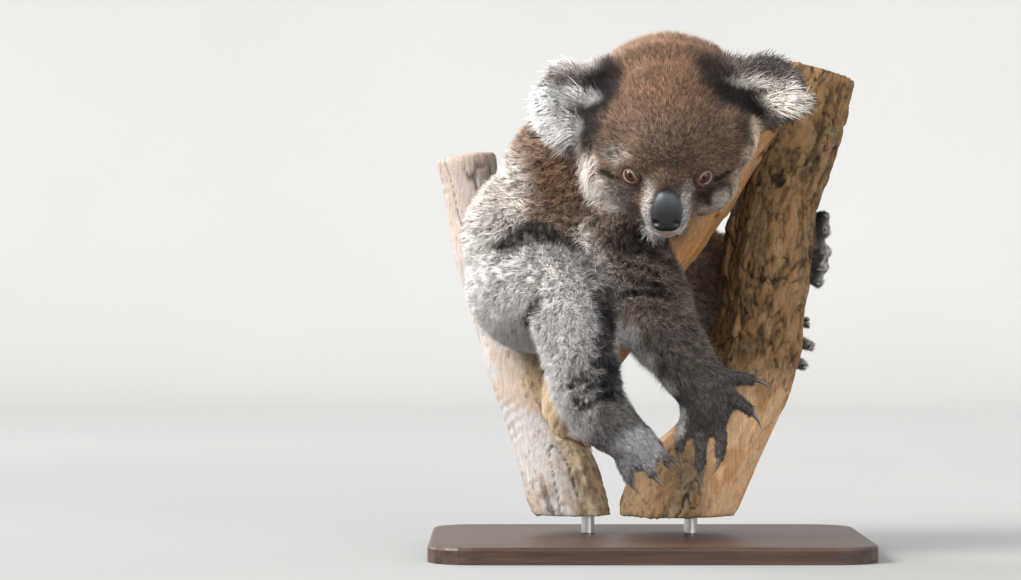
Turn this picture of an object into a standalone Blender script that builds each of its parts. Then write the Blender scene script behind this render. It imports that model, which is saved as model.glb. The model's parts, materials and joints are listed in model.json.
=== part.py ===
"""A life-size koala draped over a forked limb, on a plain display stand.

Every measure is in millimetres and turned into Blender's metres by MM. +Z is up, the animal's
right side faces -Y, its chest faces +X, and its head is turned to face -Y. The origin is the
middle of the stand's underside. The animal's solids are the outline of its coat: each group of
soft parts (trunk, head, ears, limbs) is blocked out in balls, fused by a voxel remesh, smoothed
and thinned. The groups are then trimmed to each other and to the perch, and parted by thin cuts.
"""

import math

import bmesh
import bpy
from mathutils import Matrix, Vector

MM = 0.001

# ---- clearances and mesh fineness
GAP = 0.45  # how far a trimmed piece stays from its neighbour
CUT = 0.5  # width of the cut between two parts of one group
FLAT_ANGLE = 2.5  # degrees within which a cut's slivers join the faces beside them
BALL_STEP = 5.0  # spacing of the balls along a limb
PERCH_STEP = 42.0  # spacing of the rings along a branch

# ---- the head: its own axes are x to the animal's left, -y forward, z up, from its middle
HEAD_CENTRE = (16, -75, 387)
HEAD_PITCH = 35.0  # the face looks down by this
HEAD_ROLL = 1.5
HEAD_YAW = -2.5  # and to its right by this
HEAD_TURN = (HEAD_PITCH, HEAD_ROLL, HEAD_YAW)
EYE_RADIUS = 8.6
EYE_PLACE = (32.6, -50.0, 1.2)
SOCKET_RADII = (11.0, 8.0, 8.5)
NOSE_CENTRE = (0, -82.5, -17)
NOSE_RADII = (16.5, 9.5, 21.0)
NOSE_LEAN = 24.0  # the pad's lower end stands forward by this
HEAD_BALLS = {
    "cranium": ((0, 14, 12), (75, 78, 66)),
    "crown": ((2, 14, 24), (86, 56, 42)),
    "temple_left": ((46, -2, 20), (40, 44, 40)),
    "temple_right": ((-44, -2, 20), (40, 44, 40)),
    "cheek_left": ((27, -20, -14), (43, 37, 44)),
    "cheek_right": ((-35, -20, -16), (47, 37, 46)),
    "bridge": ((0, -46, 2), (22, 26, 22)),
    "muzzle": ((0, -57, -25), (26, 29, 28)),
    "chin": ((0, -56, -47), (21, 22, 17)),
}

# ---- the ears: offset of the middle from the head's, half sizes, and the turn of the dish
EARS = {
    "ear_right": {"offset": (-88, 14, 40), "radii": (38, 15, 43), "turn": (-12, 18, 24)},
    "ear_left": {"offset": (90, 14, 54), "radii": (42, 15, 36), "turn": (-12, 14, -22)},
}
EAR_CUP = 0.72  # size of the hollow as a share of the ear
EAR_CUP_FORWARD = 11.0

# ---- the trunk of the body: centre and half sizes of each ball
TRUNK_BALLS = {
    "rump": ((-109, 10, 257), (70, 80, 67)),
    "belly": ((-98, 12, 304), (85, 86, 76)),
    "ribs": ((-63, 12, 359), (82, 82, 78)),
    "shoulders": ((-44, 15, 406), (67, 70, 60)),
    "nape": ((21, 15, 446), (77, 60, 60)),
    "throat": ((14, -22, 407), (52, 55, 52)),
}
NECK_CUT = ((-24, 12, 418), (0.78, -0.18, 0.60), 115)
WAIST_CUT = ((-86, 12, 304), (0.42, 0.0, 0.91), 130)

# ---- the limbs: each knot is a point on the limb's middle line and its radius there
ARM_RIGHT = [
    ((-40, -36, 338), 50), ((-19, -64, 284), 40), ((-5, -74, 251), 42.5), ((4, -79, 225), 39),
    ((22, -82, 198), 33), ((35, -82, 180), 29.5), ((48, -82, 159), 26), ((51, -83, 142), 20),
]
PALM_RIGHT = ((51, -84, 145), (26, 15, 28), (0, 0, 0))
FINGERS_RIGHT = {
    1: [(58, -82, 168), (71, -81, 172), (86, -81, 170), (94, -81, 169)],
    2: [(58, -84, 158), (70, -86, 157), (84, -89, 147), (92, -90, 140)],
    3: [(58, -84, 137), (64, -86, 126), (65, -90, 110), (64, -92, 98)],
    4: [(49, -84, 134), (46, -86, 118), (46, -91, 100), (45, -92, 88)],
    5: [(40, -82, 138), (31, -82, 128), (27, -85, 114), (26, -86, 105)],
}
ARM_LEFT = [
    ((-23, 58, 350), 50), ((16, 88, 316), 39), ((61, 101, 281), 33), ((104, 106, 286), 28),
    ((136, 100, 293), 23), ((152, 86, 294), 17),
]
PALM_LEFT = ((150, 85, 294), (22, 14, 25), (0, 0, -38))
FINGERS_LEFT = {
    1: [(146, 84, 312), (160, 70, 320), (171, 52, 324), (174, 40, 325)],
    2: [(152, 84, 304), (165, 68, 308), (174, 48, 310), (175, 36, 310)],
    3: [(154, 82, 294), (167, 66, 293), (175, 44, 291), (174, 28, 290)],
    4: [(152, 82, 284), (164, 66, 280), (172, 44, 276), (171, 28, 274)],
    5: [(146, 82, 276), (158, 68, 268), (167, 50, 262), (168, 38, 260)],
}
LEG_RIGHT = [
    ((-106, -26, 260), 60), ((-80, -82, 252), 47), ((-69, -97, 203), 38.5), ((-59, -93, 157), 34.5),
    ((-42, -89, 130), 28), ((-20, -88, 112), 21),
]
SOLE_RIGHT = ((-17, -88, 108), (23, 14, 25), (0, -42, 0))
TOES_RIGHT = {
    1: [(-24, -78, 124), (-10, -66, 118), (4, -56, 108), (9, -53, 100)],
    2: [(-12, -84, 120), (-1, -84, 109), (8, -85, 100), (13, -86, 95)],
    4: [(-14, -88, 114), (-10, -90, 100), (-3, -93, 87), (0, -94, 81)],
    5: [(-30, -88, 106), (-29, -88, 94), (-24, -90, 81), (-22, -90, 76)],
}
LEG_LEFT = [
    ((-97, 48, 260), 60), ((-34, 92, 248), 48), ((32, 114, 235), 38), ((69, 115, 225), 31),
    ((98, 108, 213), 26), ((114, 94, 206), 19),
]
SOLE_LEFT = ((118, 92, 204), (25, 14, 23), (0, 0, -10))
TOES_LEFT = {
    1: [(106, 92, 194), (90, 90, 184), (75, 81, 176), (70, 71, 173)],
    2: [(124, 92, 214), (140, 82, 219), (153, 66, 221), (157, 56, 221)],
    4: [(128, 92, 202), (145, 80, 202), (157, 62, 200), (160, 48, 198)],
    5: [(124, 90, 190), (140, 80, 185), (151, 64, 181), (154, 53, 179)],
}
FINGER_RADIUS = 7.6
FINGERTIP_RADIUS = 6.4

# each group's cuts: a point on the cut, the middle line's direction there, the cut's reach
ARM_RIGHT_CUTS = [((3, -78, 228), (0.45, -0.1, -0.88), 70), ((43, -82, 175), (0.35, 0, -0.94), 38)]
ARM_LEFT_CUTS = [((50, 100, 288), (0.83, 0.25, -0.5), 60), ((137, 97, 293), (0.85, -0.5, 0.1), 42)]
LEG_RIGHT_CUTS = [((-72, -92, 226), (0.2, -0.3, -0.93), 80), ((-43, -90, 136), (0.5, 0, -0.87), 50)]
LEG_LEFT_CUTS = [((24, 110, 236), (0.95, 0.25, -0.18), 70), ((92, 109, 215), (0.9, -0.25, -0.3), 40)]

# ---- the claws
CLAW_RADIUS = 3.0
CLAW_LENGTH = {"hand": 15.5, "foot": 13.0}
CLAW_ROOT = 5.0  # how far a claw starts inside its fingertip
CLAW_CURL = 38.0  # how far it bends from root to point
CLAW_RINGS = 3

# ---- the perch: a bark-covered trunk, the limb at the animal's back and the branch it lies on
PERCH_FOOT = 34.0  # the trunk and the limb are sawn level at this height
PERCH_TRUNK = [
    ((18, 30, 2), 54), ((40, 30, 62), 54), ((76, 31, 112), 45), ((99, 32, 160), 41.5),
    ((108, 32, 204), 43), ((116, 32, 272), 43.5), ((128, 34, 341), 43), ((154, 38, 409), 38),
    ((171, 40, 466), 37),
]
PERCH_LIMB = [
    ((-62, 28, 2), 38), ((-82, 42, 67), 38), ((-103, 56, 120), 35), ((-127, 76, 187), 32),
    ((-150, 91, 257), 31), ((-166, 97, 322), 30), ((-177, 101, 386), 30),
]
PERCH_BRANCH = [
    ((-74, 44, 72), 24), ((-84, 47, 117), 30), ((-73, 38, 156), 32), ((-55, 27, 189), 31),
    ((-33, 16, 220), 29), ((-8, 8, 255), 28), ((20, 5, 293), 28), ((54, 8, 343), 28),
    ((82, 14, 383), 27), ((108, 24, 410), 27), ((141, 36, 430), 27),
]
BARK_SWELL = 0.05  # the branches' radius wanders by this share

# ---- the stand
BASE_SIZE = (420, 312, 16)
BASE_CORNER = 42.0
BASE_EDGE = 3.0
ROD_RADIUS = 6.5
ROD_GAP = 0.3
RODS = {"stand_rod_limb": (-57, 34), "stand_rod_trunk": (43, 30)}

# ---- triangles left in each group by the thinning
TRIANGLES = {
    "trunk": 560, "head": 640, "ear": 150, "arm_right": 800, "arm_left": 640,
    "leg_right": 600, "leg_left": 510,
}


# ---------------------------------------------------------------- tools


def metres(point):
    return Vector(point) * MM


def clear_scene():
    for old in list(bpy.data.objects):
        bpy.data.objects.remove(old, do_unlink=True)


def finish_of(name, colour, roughness, metallic=0.0):
    """A Principled material of one colour."""
    made = bpy.data.materials.new(name)
    made.use_nodes = True
    shader = made.node_tree.nodes["Principled BSDF"]
    shader.inputs["Base Color"].default_value = (*colour, 1.0)
    shader.inputs["Roughness"].default_value = roughness
    shader.inputs["Metallic"].default_value = metallic
    return made


def place(name, mesh, finish=None):
    """A new object of the animal's collection."""
    made = bpy.data.objects.new(name, mesh)
    KOALA.objects.link(made)
    if finish is not None:
        mesh.materials.clear()
        mesh.materials.append(finish)
    return made


def mesh_of(shape, name):
    mesh = bpy.data.meshes.new(name)
    shape.to_mesh(mesh)
    shape.free()
    return mesh


def frozen(source):
    """Replaces an object by the mesh that its modifiers or its bevel make of it."""
    bpy.context.view_layer.update()
    graph = bpy.context.evaluated_depsgraph_get()
    mesh = bpy.data.meshes.new_from_object(source.evaluated_get(graph))
    mesh.transform(source.matrix_world)
    name, finish = source.name, source.data.materials[0] if source.data.materials else None
    bpy.data.objects.remove(source, do_unlink=True)
    weld(mesh)
    return place(name, mesh, finish)


def weld(mesh, within=0.0001):
    shape = bmesh.new()
    shape.from_mesh(mesh)
    bmesh.ops.remove_doubles(shape, verts=shape.verts, dist=within)
    bmesh.ops.triangulate(shape, faces=shape.faces)
    bmesh.ops.recalc_face_normals(shape, faces=shape.faces)
    shape.to_mesh(mesh)
    shape.free()


def degrees(turn):
    """A rotation by turn's degrees about x, then y, then z."""
    about = [Matrix.Rotation(math.radians(a), 4, axis) for a, axis in zip(turn, "XYZ")]
    return about[2] @ about[1] @ about[0]


def add_ball(shape, centre, radii, turn=None, fineness=(28, 18)):
    """A ball, or an egg of three half sizes, added to a shape."""
    size = Matrix.Diagonal((*metres(radii), 1.0))
    where = Matrix.Translation(metres(centre)) @ (turn or Matrix.Identity(4)) @ size
    ball = bmesh.new()
    bmesh.ops.create_uvsphere(
        ball, u_segments=fineness[0], v_segments=fineness[1], radius=1.0, matrix=where
    )
    mesh = mesh_of(ball, "ball")
    shape.from_mesh(mesh)
    bpy.data.meshes.remove(mesh)


def along(knots, step):
    """Points and radii at about every step along a smooth line through (point, radius) knots."""
    rows = [Vector((*point, radius)) for point, radius in knots]
    rows = [2 * rows[0] - rows[1], *rows, 2 * rows[-1] - rows[-2]]
    found = []
    for a, b, c, d in zip(rows, rows[1:], rows[2:], rows[3:]):
        count = max(1, round((c.xyz - b.xyz).length / step))
        for i in range(count):
            t = i / count
            found.append(
                0.5 * (2 * b + (c - a) * t + (2 * a - 5 * b + 4 * c - d) * t**2
                       + (3 * b - a - 3 * c + d) * t**3)
            )
    found.append(rows[-2])
    return [(row.xyz, row.w) for row in found]


def add_limb(shape, knots, step=BALL_STEP):
    for point, radius in along(knots, step):
        add_ball(shape, point, (radius,) * 3, fineness=(18, 12))


def fuse(name, shape, voxel, passes, triangles, finish):
    """Turns a heap of balls into one smooth closed body of about that many triangles."""
    made = place(name, mesh_of(shape, name), finish)
    remesh = made.modifiers.new("one body", "REMESH")
    remesh.mode = "VOXEL"
    remesh.voxel_size = voxel * MM
    smooth = made.modifiers.new("smooth", "SMOOTH")
    smooth.factor = 0.5
    smooth.iterations = passes
    made = frozen(made)
    thin = made.modifiers.new("thin out", "DECIMATE")
    thin.ratio = min(1.0, triangles / len(made.data.polygons))
    return frozen(made)


def combine(target, tool, operation):
    """Joins tool to target or cuts it away, and keeps the largest body that is left."""
    step = target.modifiers.new(operation, "BOOLEAN")
    step.operation = operation
    step.object = tool
    made = frozen(target)
    shape = bmesh.new()
    shape.from_mesh(made.data)
    bodies = sorted(loose_bodies(shape), key=len)
    bmesh.ops.delete(shape, geom=[v for body in bodies[:-1] for v in body], context="VERTS")
    bmesh.ops.dissolve_degenerate(shape, edges=shape.edges, dist=0.00005)
    bmesh.ops.dissolve_limit(
        shape, angle_limit=math.radians(FLAT_ANGLE), verts=shape.verts, edges=shape.edges
    )
    bmesh.ops.triangulate(shape, faces=shape.faces)
    shape.to_mesh(made.data)
    shape.free()
    return made


def loose_bodies(shape):
    """The sets of vertices of a shape that hang together."""
    left, bodies = set(shape.verts), []
    while left:
        body, edge = set(), [left.pop()]
        while edge:
            vertex = edge.pop()
            body.add(vertex)
            for link in vertex.link_edges:
                other = link.other_vert(vertex)
                if other in left:
                    left.discard(other)
                    edge.append(other)
        bodies.append(body)
    return bodies


def near(a, b):
    """Whether two objects' boxes come within GAP of each other."""
    boxes = [[o.matrix_world @ Vector(c) for c in o.bound_box] for o in (a, b)]
    lows = [[min(c[k] for c in box) for k in range(3)] for box in boxes]
    highs = [[max(c[k] for c in box) for k in range(3)] for box in boxes]
    pairs = ((lows[0], highs[1]), (lows[1], highs[0]))
    return all(low[k] - GAP * MM < high[k] for low, high in pairs for k in range(3))


def trim(target, *neighbours):
    """Cuts target back so that it stays GAP away from each neighbour."""
    for neighbour in neighbours:
        bpy.context.view_layer.update()
        if not near(target, neighbour):
            continue
        swollen = bpy.data.objects.new("swollen", neighbour.data.copy())
        shape = bmesh.new()
        shape.from_mesh(swollen.data)
        shape.normal_update()
        for vertex in shape.verts:
            vertex.co += vertex.normal * GAP * MM
        shape.to_mesh(swollen.data)
        shape.free()
        CUTTERS.objects.link(swollen)
        target = combine(target, swollen, "DIFFERENCE")
        bpy.data.objects.remove(swollen, do_unlink=True)
    return target


def how_far_along(body, cuts):
    """How far a body's middle lies past the cuts, along their directions."""
    middle = sum((v.co for v in body), Vector()) / len(body)
    return sum((middle - metres(point)).dot(Vector(direction)) for point, direction, _ in cuts)


def part(group, cuts, names):
    """Saws a group apart with thin discs, and names the bodies in order along the cuts."""
    finish = group.data.materials[0]
    shape = bmesh.new()
    for point, direction, reach in cuts:
        turn = Vector(direction).to_track_quat("Z", "Y").to_matrix().to_4x4()
        bmesh.ops.create_cone(
            shape, cap_ends=True, segments=48, radius1=reach * MM, radius2=reach * MM,
            depth=CUT * MM, matrix=Matrix.Translation(metres(point)) @ turn,
        )
    saw = bpy.data.objects.new("saw", mesh_of(shape, "saw"))
    CUTTERS.objects.link(saw)
    step = group.modifiers.new("saw", "BOOLEAN")
    step.object = saw
    group = frozen(group)
    bpy.data.objects.remove(saw, do_unlink=True)
    shape = bmesh.new()
    shape.from_mesh(group.data)
    bodies = sorted(loose_bodies(shape), key=len)[-len(names):]
    bodies.sort(key=lambda body: how_far_along(body, cuts))
    made = []
    for body, name in zip(bodies, names):
        keep = {v.index for v in body}
        piece = shape.copy()
        bmesh.ops.delete(piece, geom=[v for v in piece.verts if v.index not in keep], context="VERTS")
        made.append(place(name, mesh_of(piece, name), finish))
    shape.free()
    bpy.data.objects.remove(group, do_unlink=True)
    return made


# ---------------------------------------------------------------- the animal's groups


def head_place():
    turn = degrees(HEAD_TURN)
    return Matrix.Translation(metres(HEAD_CENTRE)) @ turn


def on_head(point):
    """A point of the head's own axes in millimetres, in the model's millimetres."""
    return head_place() @ metres(point) / MM


def make_trunk():
    shape = bmesh.new()
    for centre, radii in TRUNK_BALLS.values():
        add_ball(shape, centre, radii)
    return fuse("trunk", shape, 5.0, 14, TRIANGLES["trunk"], FUR)


def make_head():
    turn = degrees(HEAD_TURN)
    shape = bmesh.new()
    for centre, radii in HEAD_BALLS.values():
        add_ball(shape, on_head(centre), radii, turn)
    head = fuse("head", shape, 3.5, 9, TRIANGLES["head"], FUR)
    for side in (1, -1):
        x, y, z = EYE_PLACE
        shape = bmesh.new()
        add_ball(shape, on_head((side * x, y - EYE_RADIUS, z)), SOCKET_RADII, turn, (10, 6))
        socket = bpy.data.objects.new("socket", mesh_of(shape, "socket"))
        CUTTERS.objects.link(socket)
        head = combine(head, socket, "DIFFERENCE")
        bpy.data.objects.remove(socket, do_unlink=True)
    return head


def make_eye(name, side):
    x, y, z = EYE_PLACE
    shape = bmesh.new()
    add_ball(shape, on_head((side * x, y, z)), (EYE_RADIUS,) * 3, fineness=(10, 7))
    return place(name, mesh_of(shape, name), EYE)


def make_nose():
    turn = degrees((HEAD_PITCH - NOSE_LEAN, HEAD_ROLL, HEAD_YAW))
    shape = bmesh.new()
    add_ball(shape, on_head(NOSE_CENTRE), NOSE_RADII, turn, (12, 8))
    return place("nose", mesh_of(shape, "nose"), NOSE_SKIN)


def make_ear(name):
    """A thick dish, hollow at the front."""
    ear = EARS[name]
    turn = degrees(ear["turn"])
    centre = Vector(HEAD_CENTRE) + Vector(ear["offset"])
    shape = bmesh.new()
    add_ball(shape, centre, ear["radii"], turn)
    made = fuse(name, shape, 3.0, 3, TRIANGLES["ear"], FUR)
    hollow = centre + turn.to_3x3() @ Vector((0, -EAR_CUP_FORWARD, 0))
    shape = bmesh.new()
    add_ball(shape, hollow, Vector(ear["radii"]) * EAR_CUP, turn, (10, 6))
    cup = bpy.data.objects.new("cup", mesh_of(shape, "cup"))
    CUTTERS.objects.link(cup)
    made = combine(made, cup, "DIFFERENCE")
    bpy.data.objects.remove(cup, do_unlink=True)
    return made


def make_limb(name, knots, pad, digits, triangles):
    """An arm or a leg with its palm or sole and its digits."""
    shape = bmesh.new()
    add_limb(shape, knots)
    centre, radii, turn = pad
    add_ball(shape, centre, radii, degrees(turn))
    for points in digits.values():
        count = len(points) - 1
        radii = [FINGER_RADIUS + (FINGERTIP_RADIUS - FINGER_RADIUS) * i / count for i in range(count + 1)]
        add_limb(shape, list(zip(points, radii)), step=3.0)
    return fuse(name, shape, 2.4, 4, triangles, FUR)


def make_claw(name, digit, kind):
    """A tapered hook that goes on from a digit's last stretch and bends towards the pad."""
    tip, before = Vector(digit[-1]), Vector(digit[-2])
    forward = (tip - before).normalized()
    start_way = (Vector(digit[1]) - Vector(digit[0])).normalized()
    down = forward - start_way
    down = down - down.dot(forward) * forward
    if down.length < 0.05:
        down = Vector((0, 1, 0)) - forward.y * forward
    down.normalize()
    line = bpy.data.curves.new(name, "CURVE")
    line.dimensions = "3D"
    line.bevel_depth = CLAW_RADIUS * MM
    line.bevel_resolution = 1
    line.use_fill_caps = True
    spline = line.splines.new("POLY")
    spline.points.add(CLAW_RINGS - 1)
    reach = CLAW_LENGTH[kind] + CLAW_ROOT
    bend = math.radians(CLAW_CURL)
    point = tip + forward * (FINGERTIP_RADIUS - CLAW_ROOT)
    for i, knot in enumerate(spline.points):
        share = i / (CLAW_RINGS - 1)
        knot.co = (*metres(point), 1.0)
        knot.radius = (1 - share) ** 0.8 * 0.93 + 0.07
        angle = bend * (share + 0.5 / (CLAW_RINGS - 1))
        point = point + (forward * math.cos(angle) + down * math.sin(angle)) * reach / (CLAW_RINGS - 1)
    made = bpy.data.objects.new(name, line)
    KOALA.objects.link(made)
    line.materials.append(CLAW)
    return frozen(made)


def make_claws(side, kind, digits):
    """One claw a digit; the foot's second digit is two joined toes, so it has two claws."""
    claws = []
    for number, points in digits.items():
        if kind == "foot" and number == 1:
            continue
        if kind == "foot" and number == 2:
            across = (Vector(points[-1]) - Vector(points[-2])).cross(Vector((0, 1, 0)))
            if abs(across.y) + across.length < 1e-6:
                across = Vector((0, 0, 1))
            across = across.normalized() * (CLAW_RADIUS + 0.6)
            for twin, offset in ((2, across), (3, -across)):
                moved = [tuple(Vector(p) + offset) for p in points]
                claws.append(make_claw(f"claw_{kind}_{side}_{twin}", moved, kind))
            continue
        claws.append(make_claw(f"claw_{kind}_{side}_{number}", points, kind))
    return claws


# ---------------------------------------------------------------- perch and stand


def make_branch(name, knots, finish):
    """A round branch with a slightly wandering radius and sawn ends."""
    line = bpy.data.curves.new(name, "CURVE")
    line.dimensions = "3D"
    line.bevel_depth = MM
    line.bevel_resolution = 3
    line.use_fill_caps = True
    spline = line.splines.new("POLY")
    rows = along(knots, PERCH_STEP)
    spline.points.add(len(rows) - 1)
    for i, (knot, (point, radius)) in enumerate(zip(spline.points, rows)):
        knot.co = (*metres(point), 1.0)
        knot.radius = radius * (1 + BARK_SWELL * math.sin(2.1 * i + len(name)))
    made = bpy.data.objects.new(name, line)
    KOALA.objects.link(made)
    line.materials.append(finish)
    return frozen(made)


def saw_level(branch, height):
    """Cuts a branch's lower end off level, and closes it."""
    shape = bmesh.new()
    shape.from_mesh(branch.data)
    cut = bmesh.ops.bisect_plane(
        shape, geom=[*shape.verts, *shape.edges, *shape.faces], plane_co=(0, 0, height * MM),
        plane_no=(0, 0, -1), clear_outer=True,
    )
    edges = [e for e in cut["geom_cut"] if isinstance(e, bmesh.types.BMEdge)]
    bmesh.ops.holes_fill(shape, edges=edges)
    bmesh.ops.triangulate(shape, faces=shape.faces)
    bmesh.ops.recalc_face_normals(shape, faces=shape.faces)
    shape.to_mesh(branch.data)
    shape.free()


def make_base():
    """A flat plate with round corners and an eased top edge."""
    width, depth, height = BASE_SIZE
    bpy.ops.mesh.primitive_cube_add(size=1.0, location=metres((0, 0, height / 2)))
    base = bpy.context.active_object
    base.name = base.data.name = "stand_base"
    base.scale = metres(BASE_SIZE)
    bpy.ops.object.transform_apply(location=False, rotation=False, scale=True)
    for collection in list(base.users_collection):
        collection.objects.unlink(base)
    KOALA.objects.link(base)
    shape = bmesh.new()
    shape.from_mesh(base.data)
    upright = [e for e in shape.edges if abs(e.verts[0].co.z - e.verts[1].co.z) > height * MM / 2]
    bmesh.ops.bevel(
        shape, geom=upright, offset=BASE_CORNER * MM, segments=5, profile=0.5, affect="EDGES"
    )
    rim = [e for e in shape.edges if all(v.co.z > 0.49 * height * MM for v in e.verts)]
    bmesh.ops.bevel(shape, geom=rim, offset=BASE_EDGE * MM, segments=2, profile=0.5, affect="EDGES")
    shape.to_mesh(base.data)
    shape.free()
    base.data.materials.append(STAND_WOOD)
    return base


def make_rod(name, foot):
    low = BASE_SIZE[2] + ROD_GAP
    high = PERCH_FOOT - ROD_GAP
    bpy.ops.mesh.primitive_cylinder_add(
        vertices=14, radius=ROD_RADIUS * MM, depth=(high - low) * MM,
        location=metres((*foot, (high + low) / 2)),
    )
    rod = bpy.context.active_object
    rod.name = rod.data.name = name
    for collection in list(rod.users_collection):
        collection.objects.unlink(rod)
    KOALA.objects.link(rod)
    rod.data.materials.append(STEEL)
    return rod


# ---------------------------------------------------------------- the model

clear_scene()
KOALA = bpy.data.collections.new("koala")
CUTTERS = bpy.data.collections.new("cutters")
bpy.context.scene.collection.children.link(KOALA)
bpy.context.scene.collection.children.link(CUTTERS)
CUTTERS.hide_render = True

FUR = finish_of("fur", (0.30, 0.26, 0.23), 0.9)
NOSE_SKIN = finish_of("nose skin", (0.045, 0.047, 0.052), 0.5)
EYE = finish_of("eye", (0.10, 0.045, 0.02), 0.08)
CLAW = finish_of("claw", (0.03, 0.03, 0.032), 0.35)
BARK = finish_of("bark", (0.33, 0.22, 0.12), 0.85)
PALE_WOOD = finish_of("pale wood", (0.58, 0.43, 0.31), 0.75)
STAND_WOOD = finish_of("stand wood", (0.05, 0.035, 0.028), 0.4)
STEEL = finish_of("steel", (0.5, 0.5, 0.5), 0.35, 1.0)

perch_trunk = make_branch("perch_trunk", PERCH_TRUNK, BARK)
perch_limb = make_branch("perch_limb", PERCH_LIMB, PALE_WOOD)
perch_branch = make_branch("perch_branch", PERCH_BRANCH, PALE_WOOD)
saw_level(perch_trunk, PERCH_FOOT)
saw_level(perch_limb, PERCH_FOOT)
perch_branch = trim(perch_branch, perch_trunk, perch_limb)
perch = (perch_trunk, perch_limb, perch_branch)

make_base()
for rod_name, rod_foot in RODS.items():
    make_rod(rod_name, rod_foot)

eyes = [make_eye("eye_left", 1), make_eye("eye_right", -1)]
nose = make_nose()
head = trim(make_head(), nose, *eyes, *perch)
for ear_name in EARS:
    trim(make_ear(ear_name), head, *perch)

trunk = trim(make_trunk(), head, *perch)
ears = [bpy.data.objects[ear_name] for ear_name in EARS]
for ear_name in EARS:
    trim(bpy.data.objects[ear_name], trunk)

limbs = {
    "arm_right": make_limb("arm_right", ARM_RIGHT, PALM_RIGHT, FINGERS_RIGHT, TRIANGLES["arm_right"]),
    "arm_left": make_limb("arm_left", ARM_LEFT, PALM_LEFT, FINGERS_LEFT, TRIANGLES["arm_left"]),
    "leg_right": make_limb("leg_right", LEG_RIGHT, SOLE_RIGHT, TOES_RIGHT, TRIANGLES["leg_right"]),
    "leg_left": make_limb("leg_left", LEG_LEFT, SOLE_LEFT, TOES_LEFT, TRIANGLES["leg_left"]),
}
claws = {
    "arm_right": make_claws("right", "hand", FINGERS_RIGHT),
    "arm_left": make_claws("left", "hand", FINGERS_LEFT),
    "leg_right": make_claws("right", "foot", TOES_RIGHT),
    "leg_left": make_claws("left", "foot", TOES_LEFT),
}
done = []
for limb_name, limb in limbs.items():
    limb = trim(limb, trunk, head, nose, *perch, *done, *claws[limb_name])
    limbs[limb_name] = limb
    done.append(limb)
for claw in [c for group in claws.values() for c in group]:
    trim(claw, *perch)

part(trunk, [WAIST_CUT, NECK_CUT], ["trunk_rear", "trunk_front", "neck"])
part(limbs["arm_right"], ARM_RIGHT_CUTS, ["upper_arm_right", "forearm_right", "hand_right"])
part(limbs["arm_left"], ARM_LEFT_CUTS, ["upper_arm_left", "forearm_left", "hand_left"])
part(limbs["leg_right"], LEG_RIGHT_CUTS, ["thigh_right", "shin_right", "foot_right"])
part(limbs["leg_left"], LEG_LEFT_CUTS, ["thigh_left", "shin_left", "foot_left"])

for piece in KOALA.objects:
    piece.data.shade_smooth()
    piece.data.set_sharp_from_angle(angle=math.radians(50))
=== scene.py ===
# %% [markdown]
# # A koala in the fork of a gum tree
# The model is a life-size koala draped over a forked limb, as a museum would show it. Its solids
# came from another script, and give the outline of the coat. This script makes what the eye sees:
# one skin inside those solids, a coat of many small tufts over it, the eyes, the nose, the claws,
# the bark and the stand. All sizes are in millimetres until MM turns them into Blender's metres.

# %% Load the solids
import json
import math

import bmesh
import bpy
import numpy as np
from mathutils import Matrix, Vector
from mathutils.bvhtree import BVHTree

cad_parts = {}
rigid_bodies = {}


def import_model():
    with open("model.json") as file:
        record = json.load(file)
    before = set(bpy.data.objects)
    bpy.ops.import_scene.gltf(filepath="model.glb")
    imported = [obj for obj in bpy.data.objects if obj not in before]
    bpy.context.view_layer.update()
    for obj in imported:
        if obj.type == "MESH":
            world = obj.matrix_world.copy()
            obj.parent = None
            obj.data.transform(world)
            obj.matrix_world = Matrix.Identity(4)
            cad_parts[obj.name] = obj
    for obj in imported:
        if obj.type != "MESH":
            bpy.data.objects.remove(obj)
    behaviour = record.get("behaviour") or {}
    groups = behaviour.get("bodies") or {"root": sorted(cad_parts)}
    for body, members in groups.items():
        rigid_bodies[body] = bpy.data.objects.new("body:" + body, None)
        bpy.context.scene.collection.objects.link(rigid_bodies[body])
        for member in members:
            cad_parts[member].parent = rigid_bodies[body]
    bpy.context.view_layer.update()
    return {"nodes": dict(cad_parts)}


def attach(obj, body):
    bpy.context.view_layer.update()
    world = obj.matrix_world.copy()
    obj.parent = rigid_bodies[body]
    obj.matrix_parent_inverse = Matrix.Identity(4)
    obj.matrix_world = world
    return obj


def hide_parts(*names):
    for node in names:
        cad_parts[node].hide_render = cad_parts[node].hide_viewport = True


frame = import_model()
MM = 0.001

# %% [markdown]
# ## Small helpers
# A coat has more than a million corners. Blender's own tools could make it tuft by tuft, but Python
# loops are too slow for that. So points, faces and colours are numpy arrays, and go into Blender's
# meshes in one call each.


# %% Arrays in and out of meshes
def points_of(mesh):
    found = np.empty(len(mesh.vertices) * 3, np.float32)
    mesh.vertices.foreach_get("co", found)
    return found.reshape(-1, 3).astype(float)


def normals_of(mesh):
    found = np.empty(len(mesh.vertices) * 3, np.float32)
    mesh.vertices.foreach_get("normal", found)
    return found.reshape(-1, 3).astype(float)


def edges_of(mesh):
    found = np.empty(len(mesh.edges) * 2, np.int32)
    mesh.edges.foreach_get("vertices", found)
    return found.reshape(-1, 2)


def triangles_of(mesh):
    """Corner points and loops of each triangle."""
    mesh.calc_loop_triangles()
    corners = np.empty(len(mesh.loop_triangles) * 3, np.int32)
    loops = np.empty(len(mesh.loop_triangles) * 3, np.int32)
    mesh.loop_triangles.foreach_get("vertices", corners)
    mesh.loop_triangles.foreach_get("loops", loops)
    return corners.reshape(-1, 3), loops.reshape(-1, 3)


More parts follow.
